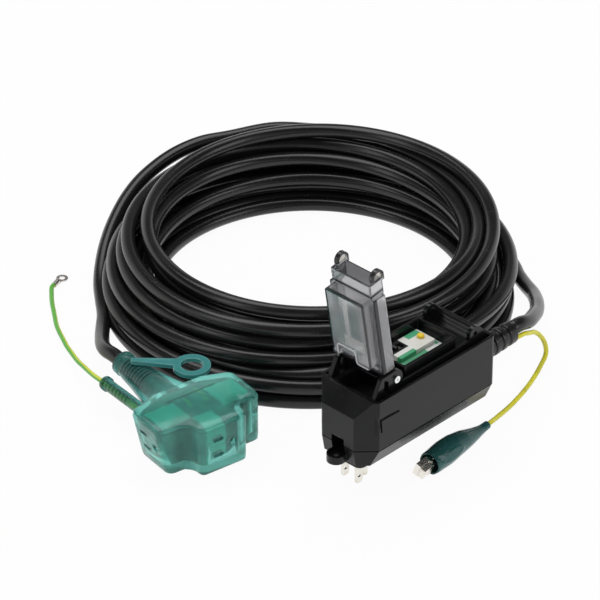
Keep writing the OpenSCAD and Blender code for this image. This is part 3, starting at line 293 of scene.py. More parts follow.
def shell(name, rings, finish, body="housing"):
    """A closed skin over a row of rings, which turn the same way: quads between neighbouring
    rings, and at each end a fan to the ring's middle. The attribute "lie" keeps, for each
    point, the cosine and sine of its angle round the ring, and its length along the row."""
    count, sides = rings.shape[:2]
    middles = rings.mean(1)
    points = np.vstack([rings.reshape(-1, 3), middles[:1], middles[-1:]])
    row, side = np.arange(count - 1)[:, None] * sides, np.arange(sides)
    after, last = (side + 1) % sides, (count - 1) * sides
    quads = np.stack([row + side, row + sides + side, row + sides + after, row + after], -1).reshape(-1, 4)
    first_fan = np.stack([np.full(sides, count * sides), side, after], 1)
    last_fan = np.stack([np.full(sides, count * sides + 1), last + after, last + side], 1)
    mesh = bpy.data.meshes.new(name)
    mesh.from_pydata(points.tolist(), [], quads.tolist() + first_fan.tolist() + last_fan.tolist())
    run = run_along(middles)
    turn = np.linspace(0, 2 * math.pi, sides, endpoint=False)
    lie = np.stack([np.tile(np.cos(turn), count), np.tile(np.sin(turn), count), np.repeat(run, sides)], 1)
    lie = np.vstack([lie, (0, 0, 0), (0, 0, run[-1])])
    mesh.attributes.new("lie", "FLOAT_VECTOR", "POINT").data.foreach_set("vector", lie.ravel())
    return placed(name, mesh, finish, body)


def round_rings(line, radius, sides, up=(0, 0, 1)):
    """Circles square to a line: line + radius (cos t side + sin t over), where side is the
    line's way crossed with up, and over is side crossed with the way."""
    way = np.gradient(line, axis=0)
    way /= np.linalg.norm(way, axis=1)[:, None]
    side = np.cross(way, up)
    side /= np.linalg.norm(side, axis=1)[:, None]
    over = np.cross(side, way)
    radius = np.broadcast_to(np.asarray(radius, float), (len(line),))[:, None, None]
    turn = np.linspace(0, 2 * math.pi, sides, endpoint=False)[None, :, None]
    return line[:, None] + radius * (np.cos(turn) * side[:, None] + np.sin(turn) * over[:, None])


def on_shell(finish):
    """Where a place lies on a shell: its angle round it, which is the arctangent of the sine
    over the cosine in "lie", and its length along it."""
    lie = finish.node("Attribute", {"attribute_name": "lie"}, out=1)
    return finish.part(lie, 1).maths("ARCTAN2", finish.part(lie, 0)), finish.part(lie, 2)


cable_d = 0.0105
# The ring's middle in metres, its start in degrees, its turns, and the steps in each
ring_centre = (0.080, 0.182)
ring_start, ring_turns, ring_steps = -35, 12.25, 36
# Where the cable lies in each turn, as (radius, height) in mm: at the right, at the
# back, at the left and at the front of the ring, which are 90 degrees apart
lay_start, lay_apart = -45, 90
ring_lay = [
    [(147, 5.3), (147, 5.3), (145, 5.3), (146, 5.3)],
    [(136, 5.3), (136, 5.3), (134, 5.3), (135, 5.3)],
    [(125, 5.3), (125, 5.3), (124, 5.3), (125, 5.3)],
    [(115, 6), (114, 5.3), (113, 5.3), (114, 5.3)],
    [(149, 14), (136, 15), (149, 14.5), (139.5, 14.5)],
    [(129, 14.5), (119, 15.5), (128.5, 14.5), (125, 15)],
    [(148, 24), (139, 26), (148, 25), (129.5, 22.5)],
    [(118, 16), (124, 25.5), (118, 16), (114, 18)],
    [(140, 24), (133, 36.5), (143, 37), (115, 34)],
    [(112, 26), (136, 45.5), (115, 38), (92, 42)],
    [(105, 39), (150, 47), (132, 46), (109, 42.5)],
    [(123, 45), (147, 61), (109, 50), (98, 53)],
    [(119, 53), (153, 48)]]
# The settling's steps, as (pull back to the lay, smoothing): loose first, firm in the end
settling = 300 * [(0.02, 0.175)] + 700 * [(0.0005, 0.03)]
# In mm: the air left between turns, the upward lean of a push, and a step's length
turn_air, push_up, step_long = 0.15, 0.15, 22


def settled_ring():
    """The ring's centre line. A cubic through the lay gives a first line; then, in steps,
    turns that are closer than a diameter move apart, each point moves back a little towards
    the lay, and the line is smoothed and kept off the table. The last steps hardly pull or
    smooth, so that no turn is left sunk in another."""
    lay = np.array([p for row in ring_lay for p in row])
    angle = ring_start + np.arange(int(ring_turns * ring_steps) + 1) * 360 / ring_steps
    place = (angle - lay_start) / lay_apart
    stop = np.clip(place.astype(int), 0, len(lay) - 2)
    stops = (lay[np.clip(stop + k, 0, len(lay) - 1)] for k in (-1, 0, 1, 2))
    aim = cubic(*stops, (place - stop)[:, None])
    need = cable_d * 1000 + turn_air
    at = aim.copy()
    for pull, ease in settling:
        push = np.zeros_like(at)
        for turn in range(1, int(ring_turns) + 1):
            for shift in (-1, 0, 1):
                ahead = turn * ring_steps + shift
                gap = at[ahead:] - at[:-ahead]
                apart = np.hypot(np.hypot(gap[:, 0], gap[:, 1]), abs(shift) * step_long)
                way = gap + (0, push_up)
                share = (0.25 if shift else 0.5) * np.clip(need - apart, 0, None)
                way *= (share / np.hypot(way[:, 0], way[:, 1]))[:, None]
                push[ahead:] += way
                push[:-ahead] -= way
        at += 0.5 * push + pull * (aim - at)
        at[1:-1] += ease * (at[:-2] + at[2:] - 2 * at[1:-1])
        at[:, 1] = np.maximum(at[:, 1], cable_d * 500)
    turn = np.radians(angle)
    return np.stack([ring_centre[0] + at[:, 0] * np.cos(turn) / 1000,
                     ring_centre[1] + at[:, 0] * np.sin(turn) / 1000, at[:, 1] / 1000], 1)


# The tap's place on the table, its turn, and the lean of its neck
tap_at, tap_turn, neck_lean = (-0.111, 0.1027), math.radians(-100), math.radians(1)


def in_neck(x):
    """A point of the tap's neck on the table: the neck leans from 2 mm beside the tap's
    middle, and the tap's frame is turned and moved to its place."""
    px, py = x * math.cos(neck_lean), -0.002 - x * math.sin(neck_lean)
    return (tap_at[0] + px * math.cos(tap_turn) - py * math.sin(tap_turn),
            tap_at[1] + px * math.sin(tap_turn) + py * math.cos(tap_turn))


cable_exit = (0.090, 0.001, 0.047)
to_ring = [cable_exit, (0.1005, 0.001, 0.047), (0.113, 0.004, 0.042), (0.127, 0.0115, 0.036),
           (0.141, 0.0205, 0.0295), (0.154, 0.031, 0.024), (0.166, 0.0425, 0.018),
           (0.177, 0.055, 0.0125), (0.188, 0.072, 0.0075), (0.1965, 0.086, 0.0054)]
to_tap = [(0.140, 0.323, 0.047), (0.118, 0.333, 0.047), (0.094, 0.339, 0.0435), (0.068, 0.340, 0.037),
          (0.046, 0.336, 0.030), (0.025, 0.328, 0.022), (0.006, 0.317, 0.0155), (-0.011, 0.304, 0.010),
          (-0.025, 0.2905, 0.0065), (-0.037, 0.276, 0.0055), (-0.0485, 0.262, 0.0055),
          (-0.061, 0.250, 0.0065), (-0.0725, 0.2385, 0.009), (-0.0835, 0.226, 0.013),
          (-0.0905, 0.2145, 0.017), (*in_neck(-0.102), 0.0195), (*in_neck(-0.0915), 0.0195)]
cable_line = along(np.vstack([to_ring, settled_ring(), to_tap]), step=0.004)

rubber = Finish("black_rubber", Specular_IOR_Level=0.45)
# The cores swell the sheath, and wind round by so many radians a metre
core_count, core_twist = 3, 14
round_cable, along_cable = on_shell(rubber)
cores = (core_count * round_cable + core_count * core_twist * along_cable).maths("COSINE")
grain = rubber.noise(1500, 3, 0.6)
cloud = rubber.noise(16, 3, 0.6)
scuffs = rubber.step(rubber.noise(160, 4, 0.7), 0.6, 0.78)
sheath = rubber.tint(rubber.step(cloud, 0.3, 0.7), (0.0065, 0.0064, 0.0064), (0.0125, 0.0122, 0.0124))
rubber.feed(Base_Color=rubber.tint(0.3 * scuffs, sheath, (0.06, 0.058, 0.056)),
            Roughness=0.17 + 0.10 * cloud + 0.05 * grain + 0.12 * scuffs)
rubber.bump(0.25 * grain + cores, 0.00014)
cable = shell("main_cable", round_rings(cable_line, cable_d / 2, 20), rubber)
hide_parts("cord_to_breaker", "cord_coil", "cord_to_tap")


# -------------------- earth lead with the clip
# A single thin core in yellow sheath that leaves the breaker's sleeve beside the
# cable, bends over in a bow and ends in the boot of a spring clip.

lead_d, lead_step, lead_sides = 0.0034, 0.0015, 14
clip_exit = (0.090, -0.004, 0.042)
clip_line = along([
    clip_exit, (0.0934, -0.004, 0.042), (0.100, -0.004, 0.0415), (0.107, -0.003, 0.0385),
    (0.114, -0.0015, 0.035), (0.120, -0.001, 0.0295), (0.1245, -0.001, 0.023), (0.1268, -0.0015, 0.016),
    (0.1255, -0.0025, 0.0105), (0.120, -0.0037, 0.0063), (0.109, -0.0077, 0.004), (0.096, -0.0118, 0.0025),
    (0.082, -0.0155, 0.0018), (0.069, -0.0185, 0.0018), (0.056, -0.021, 0.0025), (0.049, -0.0228, 0.0036),
    (0.0434, -0.02455, 0.005), (0.040, -0.0249, 0.005)], lead_step)
yellow = Finish("yellow_sheath", Specular_IOR_Level=0.5)
speckle = yellow.noise(700, 3, 0.6)
handled = yellow.step(yellow.noise(75, 3), 0.45, 0.7)
fresh = yellow.tint(speckle, (0.74, 0.68, 0.02), (0.84, 0.80, 0.05))
yellow.feed(Base_Color=yellow.tint(handled, fresh, (0.60, 0.58, 0.04)),
            Roughness=0.28 + 0.15 * handled + 0.1 * speckle)
yellow.bump(speckle, 0.00006)
clip_rings = round_rings(clip_line, lead_d / 2, lead_sides, up=(0.05, 1, 0.05))
clip_lead = shell("clip_earth_lead", clip_rings, yellow)
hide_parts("clip_lead")


# -------------------- earth lead of the tap
# The same core in a green sheath with a yellow stripe, from the tube beside the
# tap's flange to a crimped ring terminal.

tap_lead_exit = (-0.1173, 0.1881, 0.015)
tap_lead_line = along([
    tap_lead_exit, (-0.1167, 0.1915, 0.0148), (-0.115, 0.199, 0.0135), (-0.112, 0.208, 0.0115),
    (-0.108, 0.219, 0.0095), (-0.104, 0.230, 0.0075), (-0.099, 0.241, 0.006), (-0.094, 0.252, 0.005),
    (-0.088, 0.263, 0.004), (-0.083, 0.272, 0.0032), (-0.078, 0.280, 0.0025), (-0.072, 0.288, 0.002),
    (-0.066, 0.296, 0.0018), (-0.060, 0.304, 0.0018), (-0.054, 0.311, 0.0018),
    (-0.0467, 0.3188, 0.0021), (-0.0435, 0.31995, 0.0021)], lead_step)
striped = Finish("green_sheath", Specular_IOR_Level=0.5)
round_lead, along_lead = on_shell(striped)
stripe = striped.step((round_lead + core_twist * along_lead - 1.2).maths("COSINE"), 0.2, 0.3)
dirt = striped.noise(260, 4, 0.6)
green_part = striped.tint(dirt, (0.10, 0.42, 0.05), (0.17, 0.52, 0.08))
yellow_part = striped.tint(dirt, (0.60, 0.66, 0.04), (0.75, 0.78, 0.07))
striped.feed(Base_Color=striped.tint(stripe, green_part, yellow_part), Roughness=0.28 + 0.2 * dirt)
striped.bump(dirt, 0.00006)
tap_lead = shell("tap_earth_lead", round_rings(tap_lead_line, lead_d / 2, lead_sides), striped)
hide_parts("tap_lead")


# -------------------- housing
# Two moulded half shells in glossy black ABS with a fine spark-eroded grain,
# screwed together from below; handling leaves faint wipe marks on them.

# The grip mark let into the near side, in metres: along X, up Z, and in Y at its
# mouth and at its floor
grip_x, grip_z, grip_soft = (-0.0725, -0.0495), (0.0515, 0.066), 0.0002
grip_mouth, grip_floor = (-0.02585, -0.02565), (-0.0235, -0.0230)


def dress(finish, *names):
    """Gives the solids of these names one finish."""
    for name in names:
        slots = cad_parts[name].data.materials
        slots.clear()
        slots.append(finish.material)


def moulded_black(name, gloss, edge):
    """Black ABS: wipe marks and grain move the roughness about the gloss, dust lifts the colour, painted
    shade darkens the sunk mark on the near side, and grain and sink marks make the relief."""
    finish = Finish(name, Specular_IOR_Level=0.27)
    grain = finish.noise(2600, 2, 0.6)
    wipes = finish.noise(38, 3, 0.6, stretch=(0.25, 1, 1))
    dust = finish.step(finish.noise(420, 5, 0.7), 0.62, 0.78)
    x, y, z = (finish.part(finish.place(), axis) for axis in range(3))
    # Painted shade: the walls of the sunk grip mark are made near black, as shade in the recess
    grip_recess_shade = finish.patch(x, grip_x, z, grip_z, grip_soft) * finish.step(y, *grip_mouth)
    colour = finish.tint(finish.step(wipes, 0.35, 0.7), (0.0045, 0.0047, 0.0052), (0.0085, 0.0087, 0.0093))
    colour = finish.tint(0.9 * grip_recess_shade * (1 - finish.step(y, *grip_floor)), colour, (0.0006, 0.0006, 0.0006))
    finish.feed(Base_Color=finish.tint(0.25 * dust, colour, (0.09, 0.088, 0.084)),
                Roughness=gloss + 0.10 * finish.step(wipes, 0.3, 0.8) + 0.05 * grain + 0.1 * dust)
    return finish.bump(grain * 0.4 + wipes, 0.00006, edge)


dress(moulded_black("housing_black", 0.15, 0.0007), "upper_shell", "lower_shell")
dress(moulded_black("deck_black", 0.10, 0.0005), "deck_frame")


# -------------------- lid
# A clear smoke-tinted polycarbonate cover with a raised window box and two
# pinch tabs, clipped on the steel pin and swung open over the front pocket.

lid_pin, lid_turn = (-0.049, 0, 0.0845), math.radians(-99.5)
# Bands of the lid in metres: out from the pin, across it, and above it
window_out, window_edge, face_above = (0.0182, 0.0702), (0.0153, 0.0158), (0.0150, 0.0165)
rim_above, rim_edge, side_edge = (0.0062, 0.0092), (0.0184, 0.0190), (0.0195, 0.0197)
box_end_out, plate_above = (0.0695, 0.0735), (0.0100, 0.0106)
box_foot_out, plate_end_out = (0.0728, 0.0745), (0.0826, 0.0837)
root_out, tabs_out, tab_middle = (0.006, 0.014), (0.0835, 0.0845), 0.0853
tab_rim_square = (0.0000115, 0.0000145)
corner_out, corner_across = (0.0290, 0.0385), (-0.0140, 0.0040)
strip_out, strip_across = (0.0330, 0.0690), (-0.0022, 0.0022)
rim_soft, band_soft = 0.0003, 0.0008

smoke = Finish("smoke_clear", Transmission_Weight=0.78, IOR=1.46)
on_lid = smoke.node("Mapping", {"vector_type": "TEXTURE"},
                    {"Vector": smoke.place(), "Location": lid_pin, "Rotation": (0, lid_turn, 0)})
from_pin, across, above = (smoke.part(on_lid, axis) for axis in range(3))
far_across = across.maths("ABSOLUTE")
tabs = smoke.step(from_pin, *tabs_out)
front_face = smoke.step(above, *face_above)
# Painted shade: the plastic is painted near black where it is seen edge on: round the window, along the
# plate's sides and end, at the root and round the tabs
window = smoke.within(from_pin, *window_out, rim_soft) * (1 - smoke.step(far_across, *window_edge))
box_rim = front_face * (1 - window)
plate_rim = smoke.within(above, *rim_above, rim_soft) * smoke.step(far_across, *rim_edge)
end_lines = (0.9 * smoke.within(from_pin, *box_foot_out, rim_soft)
             + 0.9 * smoke.within(from_pin, *plate_end_out, 0.0002))
end_rim = (0.3 * smoke.within(from_pin, *box_end_out, rim_soft)
           + (1 - smoke.step(above, *plate_above)) * end_lines)
root_shade = 1 - smoke.step(from_pin, *root_out)
from_middle = from_pin - tab_middle
tab_rim = tabs * smoke.step(from_middle * from_middle + above * above, *tab_rim_square)
edge_on_shade = (box_rim + plate_rim + end_rim + root_shade + tab_rim).maths("MINIMUM", 1.0)
corner_band = smoke.patch(from_pin, corner_out, across, corner_across, band_soft)
strip_band = smoke.patch(from_pin, strip_out, across, strip_across, band_soft)
band = front_face * corner_band.maths("MAXIMUM", strip_band)
smears = smoke.noise(55, 4, 0.6, stretch=(1, 0.35, 1))
specks = smoke.step(smoke.noise(900, 3, 0.7), 0.66, 0.74)
clear = smoke.tint(band, (0.66, 0.66, 0.68), (0.98, 0.98, 0.96))
# Painted highlight: the plate's side faces, away from the tabs, are tinted near white
clear = smoke.tint(smoke.step(far_across, *side_edge) * (1 - tabs), clear, (0.93, 0.93, 0.95))
clear = smoke.tint(tabs, clear, (0.72, 0.69, 0.62))
clear = smoke.tint(edge_on_shade, clear, (0.010, 0.010, 0.012))
smoke.feed(Base_Color=smoke.tint(0.2 * specks, clear, (0.8, 0.8, 0.8)),
           Roughness=(0.05 + 0.10 * smoke.step(smears, 0.4, 0.75) + 0.2 * specks
                      + 0.12 * tabs + 0.25 * band))
smoke.bump(smears, 0.00003, 0.0004)
dress(smoke, "lid")

# Painted highlight: a near-white bead of the same plastic round the finger notch in the window box stands in
# for the notch's edges catching the light
lip_highlight = Finish("lip_highlight", Transmission_Weight=0.25, IOR=1.46)
lip_highlight_tone = lip_highlight.noise(300, 3)
lip_highlight.feed(Base_Color=lip_highlight.tint(lip_highlight_tone, (0.86, 0.87, 0.88), (0.95, 0.95, 0.95)),
               Roughness=0.12 + 0.2 * lip_highlight_tone)
lip_highlight.bump(lip_highlight_tone, 0.00003)
lip_route = np.array([
    (16.7, 12.3, 17), (20.2, 12.4, 17.1), (24.4, 12.1, 17.1), (26.2, 10.9, 17.1), (26.5, 9.4, 17.1),
    (26.5, 3, 17.1), (26.5, -1.9, 17.1), (26.1, -3.6, 17.1), (24.6, -4.4, 17.1), (20, -4.4, 17.1),
    (17.6, -4.5, 17.05), (16.6, -5.4, 17), (16.4, -9, 17), (16.4, -14.6, 17)]) / 1000
swing = np.array([(math.cos(lid_turn), 0, -math.sin(lid_turn)), (0, 1, 0),
                  (math.sin(lid_turn), 0, math.cos(lid_turn))])
lip_line = along(lip_route, step=0.0004) @ swing + lid_pin
lip = shell("lid_notch_highlight", round_rings(lip_line, 0.00048, 10, up=(1, 0.02, 0.01)), lip_highlight, "lid")


# -------------------- hinge pin and screws
# A steel rod and self-tapping screws with a bright nickel plating, and fine
# marks drawn along them.

def plated(name, light, dark, gloss, stretch):
    """Plated metal: drawn marks stretched along the piece change the colour and the
    roughness, and stains darken it in spots."""
    finish = Finish(name, Metallic=1.0)
    marks = finish.noise(420, 3, 0.55, stretch=stretch)
    stains = finish.step(finish.noise(160, 4, 0.6), 0.5, 0.75)
    finish.feed(Base_Color=finish.tint(0.55 * stains + 0.15 * marks, light, dark),
                Roughness=gloss + 0.10 * marks + 0.18 * stains)
    return finish.bump(marks, 0.000012, 0.0003)


dress(plated("bright_pin", (0.92, 0.92, 0.93), (0.6, 0.58, 0.55), 0.16, (1, 0.1, 1)), "hinge_pin")
dress(plated("screw_zinc", (0.72, 0.73, 0.74), (0.35, 0.33, 0.3), 0.25, (1, 1, 0.12)),
      "housing_screws", "clamp_screws")


# -------------------- breaker and its label
# The earth leakage breaker in off-white thermosetting plastic, with a printed
# film on top: white, with plain green fields that carry no words.

# Bands of the breaker's top in metres: its level, the painted shade of the opening behind the rocker and the
# two green fields beside the film
top_level, print_soft = (0.0768, 0.0770), 0.0002
rocker_x, rocker_far_y, rocker_near_y = (-0.0260, -0.0098), (0.0034, 0.0037), (-0.0006, -0.0003)
printed_x, printed_y = (-0.0040, 0.0078), (0.0088, 0.0150)

off_white = Finish("breaker_white", Specular_IOR_Level=0.4)
flecks = off_white.noise(1400, 3, 0.6)
yellowing = off_white.noise(45, 2)
on_x, on_y, on_z = (off_white.part(off_white.place(), axis) for axis in range(3))
raised = off_white.step(on_z, *top_level)
rocker_strip = raised * off_white.within(on_x, *rocker_x, print_soft)
# Painted shade: the opening behind the rocker is painted near black on the white top
rocker_opening_shade = rocker_strip * off_white.step(on_y, *rocker_far_y)
near_print = rocker_strip * (1 - off_white.step(on_y, *rocker_near_y))
printed = raised * off_white.patch(on_x, printed_x, on_y, printed_y, print_soft)
shell_white = off_white.tint(off_white.step(yellowing, 0.3, 0.75), (0.74, 0.74, 0.71), (0.66, 0.65, 0.59))
shell_white = off_white.tint(printed.maths("MAXIMUM", near_print), shell_white, (0.06, 0.37, 0.18))
off_white.feed(Base_Color=off_white.tint(rocker_opening_shade, shell_white, (0.012, 0.012, 0.013)),
               Roughness=0.38 + 0.2 * flecks - 0.15 * rocker_opening_shade)
off_white.bump(flecks, 0.00005, 0.0004)
dress(off_white, "breaker_module")

# The film's green fields in metres, as (bands along it, bands over it)
print_fields = [((-0.0300, -0.0020), (-0.0120, 0.0004)), ((-0.0040, 0.0112), (0.0106, 0.0150)),
                ((0.0082, 0.0112), (-0.0050, -0.0005))]
rules_over, rules_wave = (-0.0058, -0.0036), 3200

film = Finish("label_film")
along_film, over_film = (film.part(film.place(), axis) for axis in range(2))
near_field, far_field, small_field = (
    film.patch(along_film, along_band, over_film, over_band, print_soft)
    for along_band, over_band in print_fields)
inked = near_field.maths("MAXIMUM", far_field).maths("MAXIMUM", small_field)
rule_lines = (film.step((along_film * rules_wave).maths("SINE"), 0.75, 0.95)
              * film.within(over_film, *rules_over, 0.0001))
ink_wear = film.noise(800, 4, 0.7)
paper = film.tint(film.noise(90, 3), (0.70, 0.74, 0.71), (0.82, 0.84, 0.82))
green = film.tint(ink_wear, (0.035, 0.30, 0.13), (0.075, 0.42, 0.22))
ink = inked * (1 - 0.45 * rule_lines) * (1 - 0.25 * film.step(ink_wear, 0.6, 0.75))
film.feed(Base_Color=film.tint(ink, paper, green), Roughness=0.3 + 0.15 * ink_wear + 0.1 * inked)
film.bump(film.noise(150, 2), 0.00004, 0.0002)
dress(film, "label_plate")


# -------------------- lever and test button
# The breaker's rocker in black polyamide and the round test button in yellow,
# both pushed in from above; thumbs have worn the button's top to a shine.

dress(moulded_black("lever_black", 0.22, 0.0004), "breaker_lever")
button_yellow = Finish("button_yellow", Specular_IOR_Level=0.5)
thumb = button_yellow.step(button_yellow.part(button_yellow.place(), 2), 0.0795, 0.0815)
pores = button_yellow.noise(1500, 3, 0.6)
button_yellow.feed(Base_Color=button_yellow.tint(pores, (0.80, 0.52, 0.015), (0.93, 0.68, 0.03)),
                   Roughness=0.45 - 0.2 * thumb + 0.12 * pores)
button_yellow.bump(pores, 0.00005, 0.0006)
dress(button_yellow, "test_button")


# -------------------- blades and earth pin
# Stamped brass blades and a turned earth pin, nickel plated, held in the plug
# face; the sockets have drawn fine lines down them.

dress(plated("contact_nickel", (0.86, 0.84, 0.78), (0.55, 0.47, 0.33), 0.2, (1, 1, 0.06)),
      "line_blade", "neutral_blade", "earth_pin")


# -------------------- cable's strain relief
# A tapered sleeve in soft black PVC with five grooves that let it bend, moulded
# on the cable and the lead and locked in the rear wall by its flange.

relief_from, relief_to, relief_high = 0.0396, 0.090, 0.046
relief_thick, relief_thin = 0.0098, 0.0080
flange_out, flange_deep = 0.0022, 0.00235
groove_from, groove_count, groove_pitch, groove_deep = 0.0094, 5, 0.0076, 0.0014
tip_from, tip_round = 0.0494, 0.0012
place_along = np.concatenate([[0, 0.0002], np.linspace(0.0022, 0.0024, 3), np.linspace(0.0025, tip_from, 260),
                              np.linspace(0.0495, relief_to - relief_from, 6)])
taper = np.interp(place_along, [0.0044, relief_to - relief_from], [relief_thick, relief_thin])
phase = (place_along - groove_from) / groove_pitch
grooved = (phase > 0) & (phase < groove_count - 0.4)
in_groove = 1 / (1 + ((np.mod(phase, 1) - 0.24) / 0.2) ** 8) * grooved
flange = flange_out * (place_along < flange_deep)
tip = tip_round * np.clip((place_along - tip_from) / 0.001, 0, 1) ** 2
end_disc = np.where(place_along < 0.0001, 0.0009, 0)
relief_radius = taper + flange - groove_deep * in_groove - tip - end_disc
relief_line = np.stack([relief_from + place_along, np.zeros_like(place_along),
                        np.full_like(place_along, relief_high)], 1)
soft_black = Finish("relief_black", Specular_IOR_Level=0.5)
skin = soft_black.noise(1300, 3, 0.6)
blooms = soft_black.noise(60, 3)
soft_black.feed(Base_Color=soft_black.tint(soft_black.step(blooms, 0.35, 0.7),
                                           (0.006, 0.006, 0.0065), (0.014, 0.014, 0.0145)),
                Roughness=0.17 + 0.12 * blooms + 0.05 * skin)
soft_black.bump(skin, 0.00005)
sleeve = shell("relief_sleeve", round_rings(relief_line, relief_radius, 48), soft_black)
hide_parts("strain_relief")
dress(rubber, "cable_tail", "tap_cable_tail")
dress(yellow, "lead_tail")


# -------------------- inside the housing
# A glass-fibre board with its relay, the ring core of the earth fault sensor,
# the cable's three crimped cores and a screwed clamp, all under the deck.

board = Finish("board_green")
weave = board.node("TexWave", {"bands_direction": "X"},
                   {"Vector": board.place(), "Scale": 600, "Distortion": 1.5})
tracks = board.step(board.node("TexVoronoi", {"distance": "MANHATTAN"},
                               {"Vector": board.place(), "Scale": 260}), 0.25, 0.3)
lacquer = board.tint(weave, (0.012, 0.10, 0.035), (0.02, 0.14, 0.05))
board.feed(Base_Color=board.tint(tracks, (0.02, 0.16, 0.06), lacquer), Roughness=0.3 + 0.2 * weave)
board.bump(tracks, 0.00003, 0.0002)
dress(board, "circuit_board")

sensor = Finish("sensor_black")
windings = sensor.node("TexWave", {"bands_direction": "Z"},
                       {"Vector": sensor.place(), "Scale": 900, "Distortion": 0.6})
sensor.feed(Base_Color=sensor.tint(windings, (0.10, 0.035, 0.012), (0.28, 0.10, 0.03)),
            Roughness=0.3 + 0.2 * windings)
sensor.bump(windings, 0.0001)
dress(sensor, "current_transformer")
dress(moulded_black("clamp_black", 0.35, 0.0004), "cable_clamp")


def insulated(name, light, dark):
    """Core insulation in PVC: extrusion lines along X move the colour and roughness."""
    finish = Finish(name)
    lines = finish.noise(900, 3, 0.6, stretch=(0.05, 1, 1))
    finish.feed(Base_Color=finish.tint(lines, light, dark), Roughness=0.32 + 0.2 * lines)
    return finish.bump(lines, 0.00004)


dress(insulated("core_black", (0.02, 0.02, 0.02), (0.045, 0.045, 0.045)), "line_core")
dress(insulated("core_white", (0.8, 0.8, 0.78), (0.62, 0.62, 0.6)), "neutral_core")
dress(insulated("core_green", (0.05, 0.38, 0.07), (0.03, 0.24, 0.05)), "earth_core")


# -------------------- clip's boot
# A dipped PVC sleeve in dark teal, thin enough to show the spring clip's lever
# as a raised almond, pushed over the clip and drawn in round its lead.

clip_at, clip_turn = (0.040, -0.0249), math.radians(186)
boot_long, boot_wall, inside_end = 0.066, 0.0012, 0.014
almond_at, almond_half = (0.050, 166), (0.011, 21)
# Along the boot in mm: the stops, its half widths and its middle levels there
boot_stops = np.array([0, 7, 16, 28, 40, 50, 58, 66]) / 1000
boot_widths = np.array([2.9, 3.2, 4.9, 7.2, 8.6, 9.2, 8.7, 8.2]) / 1000
boot_levels = np.array([5, 5, 6, 8, 9.2, 9.2, 9.2, 9.2]) / 1000


def boot_rings(from_tail, inset, raised):
    """Rings along the boot: half width w(s) - inset + raised edge of the almond, whose oval is
    ((s - 50)/11)^2 + ((t - 166)/21)^2 = 1 in mm and degrees, about the level z(s), in the
    clip's own frame turned to the table's. Seven folds open at the mouth, and the boot is
    pinched in a cos 2t form round 20 mm from its tail."""
    turn = np.linspace(0, 2 * math.pi, 72, endpoint=False)
    s, t = from_tail[:, None], turn[None, :]
    smooth_stops = np.linspace(0, boot_long, 34)
    widths = np.pad(np.interp(smooth_stops, boot_stops, boot_widths), 2, mode="reflect", reflect_type="odd")
    wide = np.interp(s, smooth_stops, np.convolve(widths, [0.1, 0.2, 0.4, 0.2, 0.1], "valid"))
    oval = np.hypot((s - almond_at[0]) / almond_half[0], (np.degrees(t) - almond_at[1]) / almond_half[1])
    almond = 0.00042 * np.exp(-((oval - 1) / 0.17) ** 2) - 0.00018 * np.exp(-(oval / 0.6) ** 2)
    fold = np.sin(7 * t + 40 * s / boot_long) * np.clip(s / boot_long - 0.88, 0, 1)
    pinch = 0.0010 * np.exp(-((s - 0.020) / 0.012) ** 2) * np.cos(2 * t)
    r = wide - inset[:, None] + raised * (almond + 0.0016 * fold + 0.25 * pinch)
    x, y = s + 0 * t, -r * np.cos(t)
    z = np.interp(s, boot_stops, boot_levels) + r * np.sin(t)
    return np.stack([clip_at[0] + x * math.cos(clip_turn) - y * math.sin(clip_turn),
                     clip_at[1] + x * math.sin(clip_turn) + y * math.cos(clip_turn), z], -1)


outside = np.linspace(0, 0.0658, 90)
mouth, mouth_inset = np.array([0.0661, 0.0662, 0.0661]), np.array([0.0002, 0.0006, 0.0010])
inside = np.linspace(0.0658, inside_end, 40)
skin_rings = np.concatenate([boot_rings(outside, 0 * outside, 1), boot_rings(mouth, mouth_inset, 0),
                             boot_rings(inside, 0 * inside + boot_wall, 0)])
teal_pvc = Finish("boot_teal", Specular_IOR_Level=0.36, Subsurface_Weight=0.15,
                  Subsurface_Radius=(0.4, 1.0, 0.9), Subsurface_Scale=0.0015)
dipping = teal_pvc.noise(120, 3, 0.5, stretch=(0.3, 1, 1))
bubbles = teal_pvc.step(teal_pvc.noise(700, 2), 0.66, 0.74)
# Painted shade: faces turned upwards are painted a darker teal than the sides and underside
top_shade = teal_pvc.step(teal_pvc.part(teal_pvc.place("Normal"), 2), -0.5, 0.9)
teal_with_top_shade = teal_pvc.tint(top_shade, (0.020, 0.135, 0.130), (0.008, 0.055, 0.052))
teal_pvc.feed(Base_Color=teal_pvc.tint(0.35 * dipping + 0.2 * bubbles, teal_with_top_shade, (0.035, 0.17, 0.165)),
              Roughness=0.10 + 0.14 * dipping + 0.1 * bubbles)
teal_pvc.bump(dipping + 0.3 * bubbles, 0.00016)
boot = shell("dipped_boot", skin_rings, teal_pvc)
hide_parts("clip_boot")


# -------------------- spring clip
# Two jaws of thin stamped steel with a bright plating, turning on a rivet just
# inside the boot, with their tips bent over to grip a lug.

dress(plated("jaw_steel", (0.90, 0.87, 0.80), (0.34, 0.25, 0.16), 0.14, (0.3, 1, 1)),
      "clip_lower_jaw", "clip_upper_jaw")
dress(plated("rivet_steel", (0.75, 0.74, 0.72), (0.4, 0.36, 0.3), 0.2, (1, 0.2, 1)), "clip_pivot")


# -------------------- triple tap
# The body, neck and flange of the tap are one moulding in clear teal PVC over
# a stiff inner block that holds the three sockets' brass.

